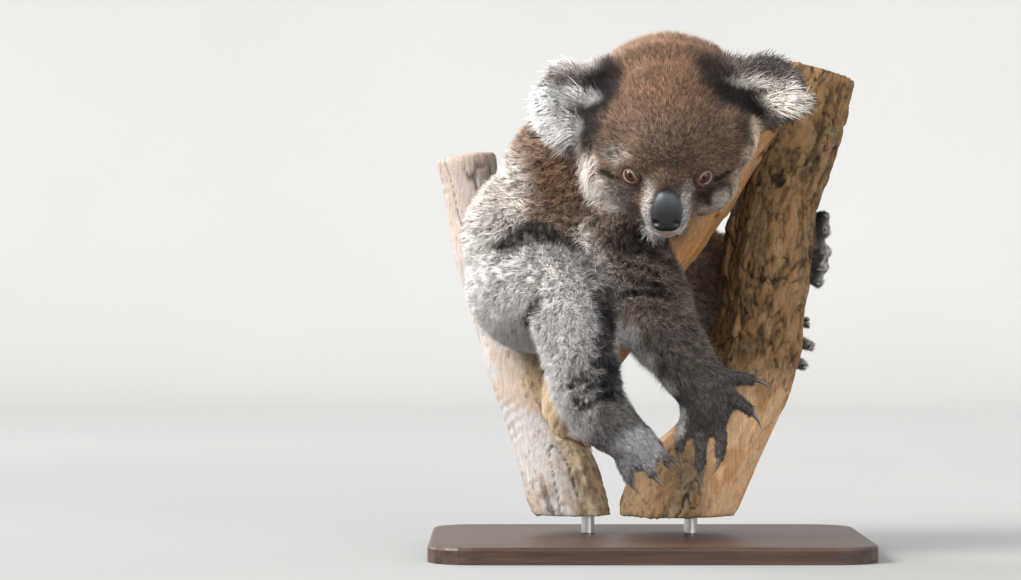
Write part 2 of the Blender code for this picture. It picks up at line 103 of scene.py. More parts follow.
def mesh_from_arrays(name, points, faces):
    mesh = bpy.data.meshes.new(name)
    mesh.vertices.add(len(points))
    mesh.vertices.foreach_set("co", np.asarray(points, np.float32).ravel())
    mesh.loops.add(faces.size)
    mesh.loops.foreach_set("vertex_index", np.asarray(faces, np.int32).ravel())
    mesh.polygons.add(len(faces))
    mesh.polygons.foreach_set("loop_start", np.arange(0, faces.size, faces.shape[1], dtype=np.int32))
    mesh.update(calc_edges=True)
    return mesh


print("one millimetre is", MM, "of Blender's units")


# %% Paint meshes, and show them as pieces
def paint(mesh, colours):
    """Stores one colour a point; colours are linear, from 0 to 1."""
    layer = mesh.color_attributes.new("colour", "FLOAT_COLOR", "POINT")
    rows = np.ones((len(mesh.vertices), 4), np.float32)
    rows[:, :3] = np.clip(colours, 0, 1)
    layer.data.foreach_set("color", rows.ravel())


def add_object(name, data):
    """Puts a mesh, camera or light in the scene."""
    made = bpy.data.objects.new(name, data)
    bpy.context.scene.collection.objects.link(made)
    return made


def shade_smooth(mesh):
    mesh.polygons.foreach_set("use_smooth", np.ones(len(mesh.polygons), bool))


def show(name, mesh, material, slot, *nodes):
    """Shows a mesh as a piece that rides on the model and stands for those nodes."""
    mesh.materials.clear()
    mesh.materials.append(material)
    piece = add_object(name, mesh)
    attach(piece, "root")
    if nodes:
        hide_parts(*nodes)
    return piece


# %% Directions, soft steps and colours
def unit(rows):
    return rows / np.maximum(np.linalg.norm(rows, axis=-1, keepdims=True), 1e-9)


def ramp(values, low, high):
    """0 below low, 1 above high, with a soft step between."""
    t = np.clip((values - low) / (high - low), 0, 1)
    return t * t * (3 - 2 * t)


def rgb(red, green, blue):
    """A screen colour from 0 to 255, as the linear colour that shaders take."""
    c = np.array([red, green, blue]) / 255
    return np.where(c < 0.04045, c / 12.92, ((c + 0.055) / 1.055) ** 2.4)


print("a middle grey is", rgb(128, 128, 128).round(3))

# %% [markdown]
# ## Noise that repeats
# Bark, fur and colour all need wandering values. Blender has such noise for shaders, and a texture
# could push a mesh about, but here the same values also steer hairs and colours. So this is noise
# for arrays: numbers on a lattice, blended between its corners, and the same on every run.


# %% Noise for arrays of points
def lattice(cells, seed):
    """A number from 0 to 1 for each whole-numbered cell, always the same one."""
    x, y, z = (cells[:, k].astype(np.int64) for k in range(3))
    mixed = (x * 73856093) ^ (y * 19349663) ^ (z * 83492791) ^ (seed * 2654435761)
    mixed = ((mixed ^ (mixed >> 13)) * 1274126177) & 0xFFFFFFFF
    mixed = ((mixed ^ (mixed >> 15)) * 2246822519) & 0xFFFFFFFF
    return ((mixed ^ (mixed >> 16)) & 0xFFFFFF) / 0xFFFFFF


def noise(points, size, seed=0):
    """Smooth noise from 0 to 1 whose blobs are about size across."""
    spots = points / size
    base = np.floor(spots)
    share = spots - base
    share = share * share * (3 - 2 * share)
    total = np.zeros(len(points))
    for corner in range(8):
        offset = np.array([corner & 1, corner >> 1 & 1, corner >> 2])
        weight = np.prod(np.where(offset == 1, share, 1 - share), axis=1)
        total += weight * lattice(base + offset, seed)
    return total


def rough_noise(points, size, octaves=3, seed=0):
    """Noise with finer and finer noise on it, still about 0 to 1."""
    parts = [noise(points, size / 2**k, seed + k) / 2**k for k in range(octaves)]
    return sum(parts) / sum(1 / 2**k for k in range(octaves))


def veins(points, size, seed=0):
    """1 along thin wandering lines and 0 between them."""
    return 1 - np.abs(2 * rough_noise(points, size, 2, seed) - 1)


print("noise check:", noise(np.array([[0.2, 0.4, 0.6]]), 1.0).round(4))

# %% [markdown]
# ## The skin
# Under its wool a koala is one closed skin, so all the solids of flesh become one mesh here. The
# solids are swollen a little to close the saw cuts between them, joined, and wrapped by a voxel
# remesh. A boolean union would join them too, but leaves creases where they cross. That wrap is the
# outline of the coat. The skin lies inside it, by as much as the coat is deep: a finger's thickness
# on the back, next to nothing on the nose and the fingers.

# %% Coat depths, part by part
COAT_DEPTH = {"trunk_rear": 9, "trunk_front": 9, "neck": 8.5, "head": 7, "ear": 3, "upper_arm": 6.5,
              "forearm": 5, "hand": 1.6, "thigh": 8, "shin": 5, "foot": 1.6}
SWELL = 0.5         # closes the saw cuts between solids


def kind_of(name):
    return name.replace("_left", "").replace("_right", "")


FLESH = [name for name in frame["nodes"] if kind_of(name) in COAT_DEPTH]
KINDS = sorted(COAT_DEPTH)


def solid_points(name):
    """Points, normals and triangles of a solid, in millimetres."""
    mesh = frame["nodes"][name].data
    return points_of(mesh) / MM, normals_of(mesh), triangles_of(mesh)[0]


def joined_solids(names, swell):
    points, faces, owner = [], [], []
    for number, name in enumerate(names):
        spots, normals, corners = solid_points(name)
        faces.append(corners + sum(len(p) for p in points))
        points.append(spots + swell * normals)
        owner += [number] * len(corners)
    return np.vstack(points), np.vstack(faces), np.array(owner)


def tree_of(points, faces):
    return BVHTree.FromPolygons(points.tolist(), faces.tolist(), all_triangles=True)


def nearest(tree, points):
    """Distance to the nearest triangle of a tree, which triangle, and whether the point is inside."""
    count = len(points)
    far, which, inside = np.empty(count), np.empty(count, int), np.empty(count, bool)
    for k, point in enumerate(points.tolist()):
        spot, normal, index, distance = tree.find_nearest(point)
        far[k], which[k] = distance, index
        inside[k] = (Vector(point) - spot).dot(normal) < 0
    return far, which, inside


flesh_points, flesh_faces, flesh_owner = joined_solids(FLESH, SWELL)
flesh_tree = tree_of(flesh_points, flesh_faces)
print("flesh:", len(FLESH), "solids,", len(flesh_faces), "triangles")


# %% [markdown]
# ## Places on the animal
# The head has axes of its own: x to its left, y to the back of the skull, z to the crown. Eyes and
# nose are placed in them. The limbs are known by the lines that run down their middles; the coat
# follows those lines, from the shoulder to the fingers and from the hip to the toes.

# %% Head axes, limb lines
HEAD_CENTRE = np.array([16.0, -75, 387])
HEAD_PITCH, HEAD_ROLL, HEAD_YAW = 35, 1.5, -2.5
NOSE_CENTRE, NOSE_LEAN = np.array([0, -82.5, -17]), 24
EYE_PLACE, EYE_RADIUS = np.array([32.6, -50, 1.2]), 8.6
EAR_ROOT = {"right": np.array([-44, -50, 434]), "left": np.array([70, -50, 450])}
LIMBS = {
    "arm_right": [(-40, -36, 338), (-19, -64, 284), (-5, -74, 251), (4, -79, 225), (22, -82, 198),
                  (48, -82, 159), (51, -83, 142), (54, -86, 100)],
    "arm_left": [(-23, 58, 350), (16, 88, 316), (61, 101, 281), (104, 106, 286), (136, 100, 293),
                 (152, 86, 294), (175, 36, 290)],
    "leg_right": [(-106, -26, 260), (-80, -82, 252), (-69, -97, 203), (-59, -93, 157), (-42, -89, 130),
                  (-20, -88, 112), (0, -90, 84)],
    "leg_left": [(-97, 48, 260), (-34, 92, 248), (32, 114, 235), (69, 115, 225), (98, 108, 213),
                 (114, 94, 206), (158, 60, 205)],
}
THIGH_WAY = {"right": (0.3, -0.25, -0.92), "left": (0.85, 0.2, -0.45)}
SPINE = [(21, 0, 470), (-44, 15, 430), (-75, 14, 375), (-105, 12, 320), (-115, 10, 257), (-95, 8, 190)]
PART_LIMB = {"upper_arm": "arm", "forearm": "arm", "hand": "arm",
             "thigh": "leg", "shin": "leg", "foot": "leg"}


def turned(about_x, about_y=0, about_z=0):
    """The matrix that turns by these degrees, first about x, then y, then z."""
    x, y, z = (math.radians(a) for a in (about_x, about_y, about_z))
    turn = Matrix.Rotation(z, 3, "Z") @ Matrix.Rotation(y, 3, "Y") @ Matrix.Rotation(x, 3, "X")
    return np.array(turn)


HEAD_TURN = turned(HEAD_PITCH, HEAD_ROLL, HEAD_YAW)


def in_head(points):
    return (points - HEAD_CENTRE) @ HEAD_TURN


def from_head(points):
    return np.asarray(points) @ HEAD_TURN.T + HEAD_CENTRE


def line_direction(line, points):
    """At each point, the direction of the nearest stretch of a line, and how far along it that is."""
    line = np.array(line, float)
    best = np.full(len(points), np.inf)
    way, along = np.zeros_like(points), np.zeros(len(points))
    run = 0.0
    for a, b in zip(line[:-1], line[1:]):
        step = b - a
        share = np.clip((points - a) @ step / (step @ step), 0, 1)
        far = np.linalg.norm(points - a - share[:, None] * step, axis=1)
        closer = far < best
        best[closer] = far[closer]
        way[closer] = step / np.linalg.norm(step)
        along[closer] = run + share[closer] * np.linalg.norm(step)
        run += np.linalg.norm(step)
    return way, along / run


EYES = {"right": from_head(EYE_PLACE * (-1, 1, 1)), "left": from_head(EYE_PLACE)}
NOSE = from_head(NOSE_CENTRE)


def from_eyes(points):
    """Distance to the nearer eye."""
    return np.min([np.linalg.norm(points - eye, axis=1) for eye in EYES.values()], axis=0)


print("eyes at", {side: place.round(1).tolist() for side, place in EYES.items()}, "nose at", NOSE.round(1))

# %% [markdown]
# ## Wrapping
# The voxel wrap is even, about two millimetres a face, which is fine for a back and coarse for a
# face. A finer wrap everywhere would cost a million faces that no one sees under the wool. So the
# wrap is eased first, to lose the flat faces of the solids, and then cut finer in front of the
# skull and finer again round the eyes and the nose.

# %% Ways to wrap, ease and cut a mesh
VOXEL = 2.45        # the size of a face of the wrap


def remeshed(points, faces, voxel):
    draft = add_object("draft", mesh_from_arrays("draft", points, faces))
    wrap = draft.modifiers.new("wrap", "REMESH")
    wrap.mode = "VOXEL"
    wrap.voxel_size = voxel
    wrap.use_smooth_shade = True
    ready = draft.evaluated_get(bpy.context.evaluated_depsgraph_get())
    mesh = bpy.data.meshes.new_from_object(ready)
    bpy.data.objects.remove(draft)
    return mesh


def smoothed(values, edges, passes, share=0.5):
    """Every value is drawn towards the mean of its neighbours, pass after pass."""
    values = np.array(values, float)
    rows = values.reshape(len(values), -1)
    count = np.bincount(edges.ravel(), minlength=len(rows)).clip(1)[:, None]
    a, b = edges[:, 0], edges[:, 1]
    for _ in range(passes):
        total = np.column_stack([np.bincount(a, rows[b, k], len(rows)) + np.bincount(b, rows[a, k], len(rows))
                                 for k in range(rows.shape[1])])
        rows = rows + share * (total / count - rows)
    return rows.reshape(values.shape)


def parts_of(points):
    """The number of the nearest solid of flesh, and of its kind, for every point."""
    _, triangle, _ = nearest(flesh_tree, points)
    node = flesh_owner[triangle]
    return node, np.array([KINDS.index(kind_of(name)) for name in FLESH])[node]


def cut_finer(mesh, chosen):
    """Cuts in four every face whose corners are all chosen."""
    work = bmesh.new()
    work.from_mesh(mesh)
    edges = [e for e in work.edges if chosen[e.verts[0].index] and chosen[e.verts[1].index]]
    bmesh.ops.subdivide_edges(work, edges=edges, cuts=1, use_grid_fill=True)
    work.to_mesh(mesh)
    work.free()


def set_points(mesh, points):
    mesh.vertices.foreach_set("co", np.asarray(points, np.float32).ravel())
    mesh.update()


print("each face of the wrap is about", VOXEL, "mm")

# %% Wrap the solids in one mesh
# centres and radii of loose skin and wool where the head joins the nape and the ears
PADS = [((14, -32, 457), (66, 40, 38)), ((-48, -44, 450), (24, 22, 20)), ((74, -42, 457), (22, 20, 20))]


def with_pads(points, faces):
    for centre, radii in PADS:
        work = bmesh.new()
        bmesh.ops.create_icosphere(work, subdivisions=3, radius=1)
        spots = np.array([v.co for v in work.verts]) * radii + centre
        faces = np.vstack([faces, [[v.index + len(points) for v in f.verts] for f in work.faces]])
        points = np.vstack([points, spots])
        work.free()
    return points, faces


skin = remeshed(*with_pads(flesh_points, flesh_faces), VOXEL)
outline = points_of(skin)
_, kinds = parts_of(outline)
edges = edges_of(skin)
print("wrap:", len(outline), "points")


# %% Ease the wrap, least of all on the digits and the ears
def is_part(kinds, *names):
    return np.isin(kinds, [KINDS.index(name) for name in names])


easing = smoothed(np.where(is_part(kinds, "hand", "foot", "ear"), 0.12, 0.5), edges, 8)[:, None]
for _ in range(10):
    outline += easing * (smoothed(outline, edges, 1, 1.0) - outline)
set_points(skin, outline)
print("easing from", easing.min().round(2), "to", easing.max().round(2))


# %% Fill the hollows where loose skin and thick wool bridge two parts
def meeting(kinds, edges, first, second, passes):
    """1 at points where parts of two kinds meet, fading out over that many rings of points."""
    one, other = is_part(kinds, *first), is_part(kinds, *second)
    start, end = edges.T
    across = (one[start] & other[end]) | (other[start] & one[end])
    found = np.zeros(len(kinds))
    found[edges[across].ravel()] = 1
    return np.clip(smoothed(found, edges, passes) * math.sqrt(passes), 0, 1)


def filled(mesh, points, edges, where, passes):
    """Draws hollows out towards their rims and leaves what bulges."""
    for turn in range(passes):
        if turn % 25 == 0:
            set_points(mesh, points)
            outward = smoothed(normals_of(mesh), edges, 3)
        move = smoothed(points, edges, 1, 1.0) - points
        points = points + move * (where * (np.sum(move * outward, axis=1) > 0))[:, None]
    return points


scruff = meeting(kinds, edges, ["head"], ["neck", "trunk_front"], 130) * ramp(in_head(outline)[:, 2], 5, 35)
ear_roots = meeting(kinds, edges, ["ear"], ["head", "neck", "trunk_front"], 60)
outline = filled(skin, outline, edges, np.maximum(scruff, 0.8 * ear_roots), 220)
set_points(skin, outline)
print("hollows filled at", int((scruff + ear_roots > 0.05).sum()), "points")

# %% Cut the face finer
local = in_head(outline)
cut_finer(skin, (np.abs(local[:, 0]) < 56) & (local[:, 1] < -22) & (np.abs(local[:, 2] + 12) < 52))
outline = points_of(skin)
cut_finer(skin, (from_eyes(outline) < 17) | (np.linalg.norm(outline - NOSE, axis=1) < 40))
outline = points_of(skin)
edges = edges_of(skin)
node, kinds = parts_of(outline)
print("skin:", len(outline), "points")


# %% Depth of the coat at every point of the skin
def coat_depth(points, kinds):
    depth = np.array([COAT_DEPTH[kind] for kind in KINDS], float)[kinds]
    local = in_head(points)
    from_nose = np.linalg.norm(local - NOSE_CENTRE, axis=1)
    # bare by the nose, deep on the cheeks and the back of the skull
    by_nose = (0.8 + 2.2 * ramp(from_nose, 22, 45) + 4 * ramp(from_nose, 45, 85)
               + 2.5 * ramp(local[:, 1], -10, 40))
    depth = np.where(is_part(kinds, "head"), by_nose, depth)
    for centre in EYES.values():
        from_eye = np.linalg.norm(points - centre, axis=1)
        depth = np.minimum(depth, 0.6 + 20 * ramp(from_eye, 11, 50))
    return depth


depth = smoothed(coat_depth(outline, kinds), edges, 24)
print("coat depth from", depth.min().round(1), "to", depth.max().round(1), "mm")


# %% Sink the skin below the outline of the coat
def sunk(mesh, points, depth, steps=5):
    """Moves points inwards a little at a time, easing them as they go so that no fold turns over."""
    edges = edges_of(mesh)
    for _ in range(steps):
        set_points(mesh, points)
        inward = smoothed(normals_of(mesh), edges, 2)
        points = points - unit(inward) * (depth / steps)[:, None]
        points += (smoothed(points, edges, 2) - points) * ramp(depth, 1.5, 4)[:, None]
    return points


body = sunk(skin, outline, depth)
set_points(skin, body)
print("skin sunk by", np.linalg.norm(body - outline, axis=1).mean().round(1), "mm on average")

# %% [markdown]
# ## Folds
# Where a limb bends, the loose skin of the upper arm and the ankle rucks up in bands across the
# limb. Where the flank meets the thigh it turns in deeply. Cloth simulation could fold a hide, but
# these folds have known places, so bands and drawn lines say where they run. They move the skin,
# shorten the wool over them and darken it, as little light reaches its roots there.

# %% Where the folds and creases run
# limb, middle of the folds, reach, distance between folds, depth
FOLDS = [
    ("arm_right", (-4, -100, 262), (44, 60, 34), 11.5, 1.6),
    ("leg_right", (-48, -105, 160), (36, 60, 34), 10.5, 1.4),
    ("arm_left", (75, 110, 290), (50, 60, 40), 12, 2.2),
    ("leg_left", (70, 130, 222), (46, 60, 36), 11, 2.4),
]
ARM, SHANK = ("upper_arm", "forearm"), ("shin", "foot")
# depth, darkness, parts, and the line of a crease on the near side: (x, z, half width)
CREASES = [
    (11, 1.0, ("trunk_front", "trunk_rear", "thigh"),
     [(-148, 291, 4), (-131, 299, 11), (-114, 305, 14), (-97, 302, 10), (-81, 297, 8), (-66, 290, 6)]),
    (7, 1.0, ("thigh", "shin", "trunk_rear"),
     [(-107, 243, 3), (-112, 232, 5), (-116, 223, 5), (-112, 212, 3)]),
    # a shallow crease along the gap between the near arm and the thigh and shin, with painted shade in it
    (3, 0.7, ("trunk_front", "thigh", "shin"),
     [(-67, 304, 2), (-63, 286, 3.5), (-57, 262, 4), (-49, 241, 5), (-42, 226, 5), (-33, 208, 4)]),
    (4, 1.0, ARM, [(-37, 281, 1.5), (-20, 276, 3), (-7, 272, 3), (8, 265, 2)]),
    (4, 1.0, ARM, [(-32, 262, 1.5), (-18, 262, 3), (4, 257, 3.5), (22, 247, 2)]),
    (4, 1.0, ARM, [(-28, 247, 2), (-14, 251, 3), (6, 249, 3), (19, 243, 2)]),
    (4, 0.9, ARM, [(-12, 290, 2), (6, 285, 3), (24, 277, 3)]),
    (4, 0.8, ARM, [(-20, 233, 1.5), (-4, 236, 2.5), (14, 231, 1.5)]),
    (5, 1.0, SHANK, [(-82, 163, 2), (-70, 168, 3), (-57, 173, 2.5)]),
    (5, 0.95, SHANK, [(-65, 158, 2), (-54, 163, 3), (-36, 166, 3)]),
    (7, 1.0, SHANK, [(-66, 140, 2.5), (-54, 149, 3.5), (-43, 155, 4.5), (-26, 155, 4.5)]),
    (5, 0.9, SHANK, [(-76, 147, 2.5), (-66, 148, 2.5)]),
    (4, 0.85, ("shin", "thigh"), [(-58, 206, 2), (-43, 199, 3), (-32, 196, 3)]),
    (4, 0.85, ("shin", "thigh"), [(-62, 185, 2), (-46, 181, 3), (-32, 178, 3)]),
]
print("folded limbs:", len(FOLDS), "creases:", len(CREASES))


# %% Fold the skin
def crease_at(points, line):
    """1 along a line seen from the near side, 0 beside it."""
    found, spots = np.zeros(len(points)), points[:, [0, 2]]
    for (x0, z0, wide0), (x1, z1, wide1) in zip(line[:-1], line[1:]):
        step = np.array([x1 - x0, z1 - z0])
        share = np.clip((spots - (x0, z0)) @ step / (step @ step), 0, 1)
        far = np.linalg.norm(spots - (x0, z0) - share[:, None] * step, axis=1)
        found = np.maximum(found, 1 - ramp(far / (wide0 + share * (wide1 - wide0)), 0.45, 1.25))
    return found


def creases_of(points, normals, kinds):
    """For each crease: its share at the points, its depth and its darkness."""
    drift = np.column_stack([rough_noise(points, 6, 2, seed) - 0.5 for seed in (23, 24, 25)]) * 12
    near_side = ramp(-normals[:, 1], -0.15, 0.35)
    near_side = near_side * (0.68 + 0.32 * ramp(rough_noise(points, 5, 2, 26), 0.36, 0.52))
    for deep, darkness, parts, line in CREASES:
        yield crease_at(points + drift, line) * near_side * is_part(kinds, *parts), deep, darkness


def folds_of(points, normals, kinds):
    """Depth of the folds in millimetres, and how dark they are from 0 to 1."""
    sink, dark = np.zeros(len(points)), np.zeros(len(points))
    for limb, place, reach, spacing, deep in FOLDS:
        run = line_direction(LIMBS[limb], points)[1]
        run = run * np.linalg.norm(np.diff(np.array(LIMBS[limb]), axis=0), axis=1).sum()
        here = 1 - ramp(np.linalg.norm((points - place) / reach, axis=1), 0.5, 1.1)
        here = here * is_part(kinds, *[k for k, v in PART_LIMB.items() if v == limb.split("_")[0]])
        wave = np.cos(2 * math.pi * (run / spacing + 1.5 * rough_noise(points, 26, 2, 21)))
        broken = ramp(rough_noise(points, 13, 2, 22), 0.36, 0.56)
        groove = ramp(wave, 0.25, 1.0) * broken * here
        sink = np.maximum(sink, deep * groove)
        dark = np.maximum(dark, 0.6 * groove)
    for share, deep, darkness in creases_of(points, normals, kinds):
        sink, dark = np.maximum(sink, deep * share), np.maximum(dark, darkness * share)
    return sink, dark


fold_depth, fold_dark = folds_of(body, normals_of(skin), kinds)
fold_depth = smoothed(fold_depth, edges, 1)
body = body - unit(normals_of(skin)) * fold_depth[:, None]
set_points(skin, body)
print("folds sink the skin by up to", fold_depth.max().round(1), "mm")

# %% [markdown]
# ## Lids
# The solids leave an open socket round each eye. On the animal a thick lid closes most of it: a
# narrow pink rim, slanting up to the outer corner, then thin skin that dives under the fur. A hole
# cut in the skin would have a ragged edge at this size. So each lid is a ring of bands round the
# ball, from the rim to the edge of the socket, and joins the skin. The lip is a soft tube.

# %% Shape of the lids
LID_STEPS, LID_BANDS = 72, 12
LID_OPENING = (39, 26)      # half angles of the opening, along and across the slant, in degrees
LID_SLANT = 45
LID_FACING = unit(np.array([0.36, -0.88, 0.3]))


def mirror_of(side):
    return np.array([-1, 1, 1]) if side == "right" else np.ones(3)


def eye_axes(side):
    """Axes of an eye, as rows: towards the outer corner, out of the head, and up."""
    mirror = mirror_of(side)
    out = (LID_FACING * mirror) @ HEAD_TURN.T
    corner = np.array([mirror[0], 0, 0.0]) @ HEAD_TURN.T
    corner = unit(corner - corner @ out * out)
    up = np.cross(corner, out) * -mirror[0]
    slant = math.radians(LID_SLANT)
    return np.array([corner * math.cos(slant) + up * math.sin(slant), out,
                     up * math.cos(slant) - corner * math.sin(slant)])


def around(steps):
    """Angles evenly round a circle."""
    return np.linspace(0, 2 * math.pi, steps, endpoint=False)


def lid_points(side):
    turn = around(LID_STEPS)
    long, tall = (math.radians(a) for a in LID_OPENING)
    almond = 1 / np.sqrt((np.cos(turn) / long) ** 2 + (np.sin(turn) / tall) ** 2)
    almond *= 1 + 0.18 * np.cos(turn) ** 8
    rows = []
    for share in np.linspace(0, 1, LID_BANDS):
        lean = almond + (math.radians(92) - almond) * max(0.0, share - 0.1) / 0.9
        swell = 0.1 + 1.0 * math.sin(min(1.0, share * 3.2) * math.pi / 2) + 1.6 * max(0.0, share - 0.35)
        radius = EYE_RADIUS + swell
        rows.append(np.column_stack([np.cos(turn) * np.sin(lean), np.cos(lean),
                                     np.sin(turn) * np.sin(lean)]) * radius)
    return np.vstack(rows) @ eye_axes(side) + EYES[side]


def ring_faces(steps, bands, flip=False):
    step, band = np.meshgrid(np.arange(steps), np.arange(bands - 1))
    step, band = step.ravel(), band.ravel()
    after = (step + 1) % steps
    faces = np.column_stack([band * steps + step, band * steps + after,
                             (band + 1) * steps + after, (band + 1) * steps + step])
    return faces[:, ::-1] if flip else faces


print("each lid:", LID_STEPS * LID_BANDS, "points")

# %% Shape of the lip
LIP_CENTRE, LIP_HALF, LIP_THICK = (9.8, 304.2), 13.0, 1.9
LIP_STEPS, LIP_SIDES = 40, 12


def smoothed_line(line, passes):
    for _ in range(passes):
        line[1:-1] = (line[:-2] + 2 * line[1:-1] + line[2:]) / 4
    return line


def lip_points():
    """A soft tube under the nose, drawn on the surface of the muzzle, with a dip in its middle."""
    muzzle = tree_of(body, triangles_of(skin)[0])
    share = np.linspace(-1, 1, LIP_STEPS)
    line = []
    for t in share:
        x, z = LIP_CENTRE[0] + LIP_HALF * t, LIP_CENTRE[1] + 2.4 * t * t + 0.6 * math.exp(-(t * 6) ** 2)
        spot = muzzle.ray_cast(Vector((x, -250, z)), Vector((0, 1, 0)))[0]
        line.append((x, spot.y - 0.9 if spot else -140, z))
    line = smoothed_line(np.array(line), 6)
    thick = LIP_THICK * np.sqrt(np.clip(1.02 - share**2, 0, 1))[:, None, None]
    turn = around(LIP_SIDES)
    circle = np.column_stack([0 * turn, np.cos(turn), 0.8 * np.sin(turn)])
    return (line[:, None] + circle[None] * thick).reshape(-1, 3)


print("lip:", 2 * LIP_HALF, "mm wide,", LIP_STEPS, "rings of", LIP_SIDES, "points")

# %% Join lids and lip to the skin, and give their points a place in every list
def joined(first, *others):
    work = bmesh.new()
    for mesh in (first, *others):
        work.from_mesh(mesh)
    work.to_mesh(first)
    work.free()


extras = [(lid_points(side), ring_faces(LID_STEPS, LID_BANDS, side == "left")) for side in EYES]
extras.append((lip_points(), ring_faces(LIP_SIDES, LIP_STEPS)))
joined(skin, *[mesh_from_arrays("extra", points, faces) for points, faces in extras])
lid_share = np.full(len(body), np.nan)
lid_turn = np.zeros(len(body))
for side in EYES:
    lid_share = np.append(lid_share, np.repeat(np.linspace(0, 1, LID_BANDS), LID_STEPS))
    lid_turn = np.append(lid_turn, np.tile(around(LID_STEPS), LID_BANDS))
is_lip = np.arange(len(body) + sum(len(p) for p, _ in extras)) >= len(lid_share)
lid_share = np.append(lid_share, np.full(is_lip.sum(), np.nan))
lid_turn = np.append(lid_turn, np.zeros(is_lip.sum()))
body = np.vstack([body] + [points for points, _ in extras])
added = len(body) - len(kinds)
kinds = np.append(kinds, np.full(added, KINDS.index("head")))
node = np.append(node, np.full(added, FLESH.index("head")))
depth = np.append(depth, np.full(added, 0.8))
fold_dark = np.append(fold_dark, np.zeros(added))
edges = edges_of(skin)
print("skin with lids and lips:", len(body), "points")

# %% [markdown]
# ## The lie of the coat
# A koala's wool runs back from the nose over the skull, down the spine to the rump, and down each
# limb to the digits. It could be combed by hand in sculpt mode, but a rule can be read and repeated.
# Each point of the skin takes a direction by that rule, and the directions are then blended between
# neighbours, so that the coat turns smoothly from the trunk onto a thigh.


# %% Direction of the coat at every point
def lie_of_coat(points, node):
    way = np.zeros_like(points)
    for number, name in enumerate(FLESH):
        here = node == number
        kind, side = kind_of(name), name.rsplit("_", 1)[-1]
        if kind == "thigh":
            way[here] = THIGH_WAY[side]
        elif kind in PART_LIMB:
            way[here] = line_direction(LIMBS[f"{PART_LIMB[kind]}_{side}"], points[here])[0]
        elif kind == "ear":
            way[here] = unit(points[here] - EAR_ROOT[side])
        elif kind == "head":
            backwards = unit(in_head(points[here]) - NOSE_CENTRE + (0, 10, 0)) + (0, 0.25, -0.12)
            way[here] = backwards @ HEAD_TURN.T
        else:
            way[here] = line_direction(SPINE, points[here])[0] + (0, 0, -0.25)
    return way


def along_skin(way, normals):
    return unit(way - np.sum(way * normals, axis=1, keepdims=True) * normals)


normals = unit(smoothed(normals_of(skin), edges, 3))
way = along_skin(lie_of_coat(body, node), normals)
for _ in range(6):
    way = along_skin(smoothed(way, edges, 6), normals)
print("lie of the coat set at", len(way), "points")

# %% [markdown]
# ## Markings, and painted light and shade
# The markings are soft patches, each an ellipsoid that fades at its edge. A painted sheet would hold
# them too, but patches need no file and stay where the anatomy is. Skin and wool both read them, so
# that a gap in the coat never shows a different animal. First come the broad tones of each part,
# blended over the whole skin, and then the patches: black at the roots of the ears, white on the
# cheeks and the rump, rust on the nape and the shoulders. Some patches are painted light and shade
# instead of markings: painted shadows cast by the chin and the near arm, and painted light on the
# shaded undersides and on the far limbs.

# %% Tones of the parts and patches of the body
PART_TONES = {
    "trunk_rear": rgb(214, 207, 202), "trunk_front": rgb(138, 116, 102), "neck": rgb(150, 124, 106),
    "head": rgb(124, 104, 90), "ear": rgb(132, 124, 119), "upper_arm": rgb(144, 129, 119),
    "forearm": rgb(112, 104, 98), "hand": rgb(104, 100, 99), "thigh": rgb(209, 203, 199),
    "shin": rgb(188, 183, 181), "foot": rgb(146, 143, 144),
}
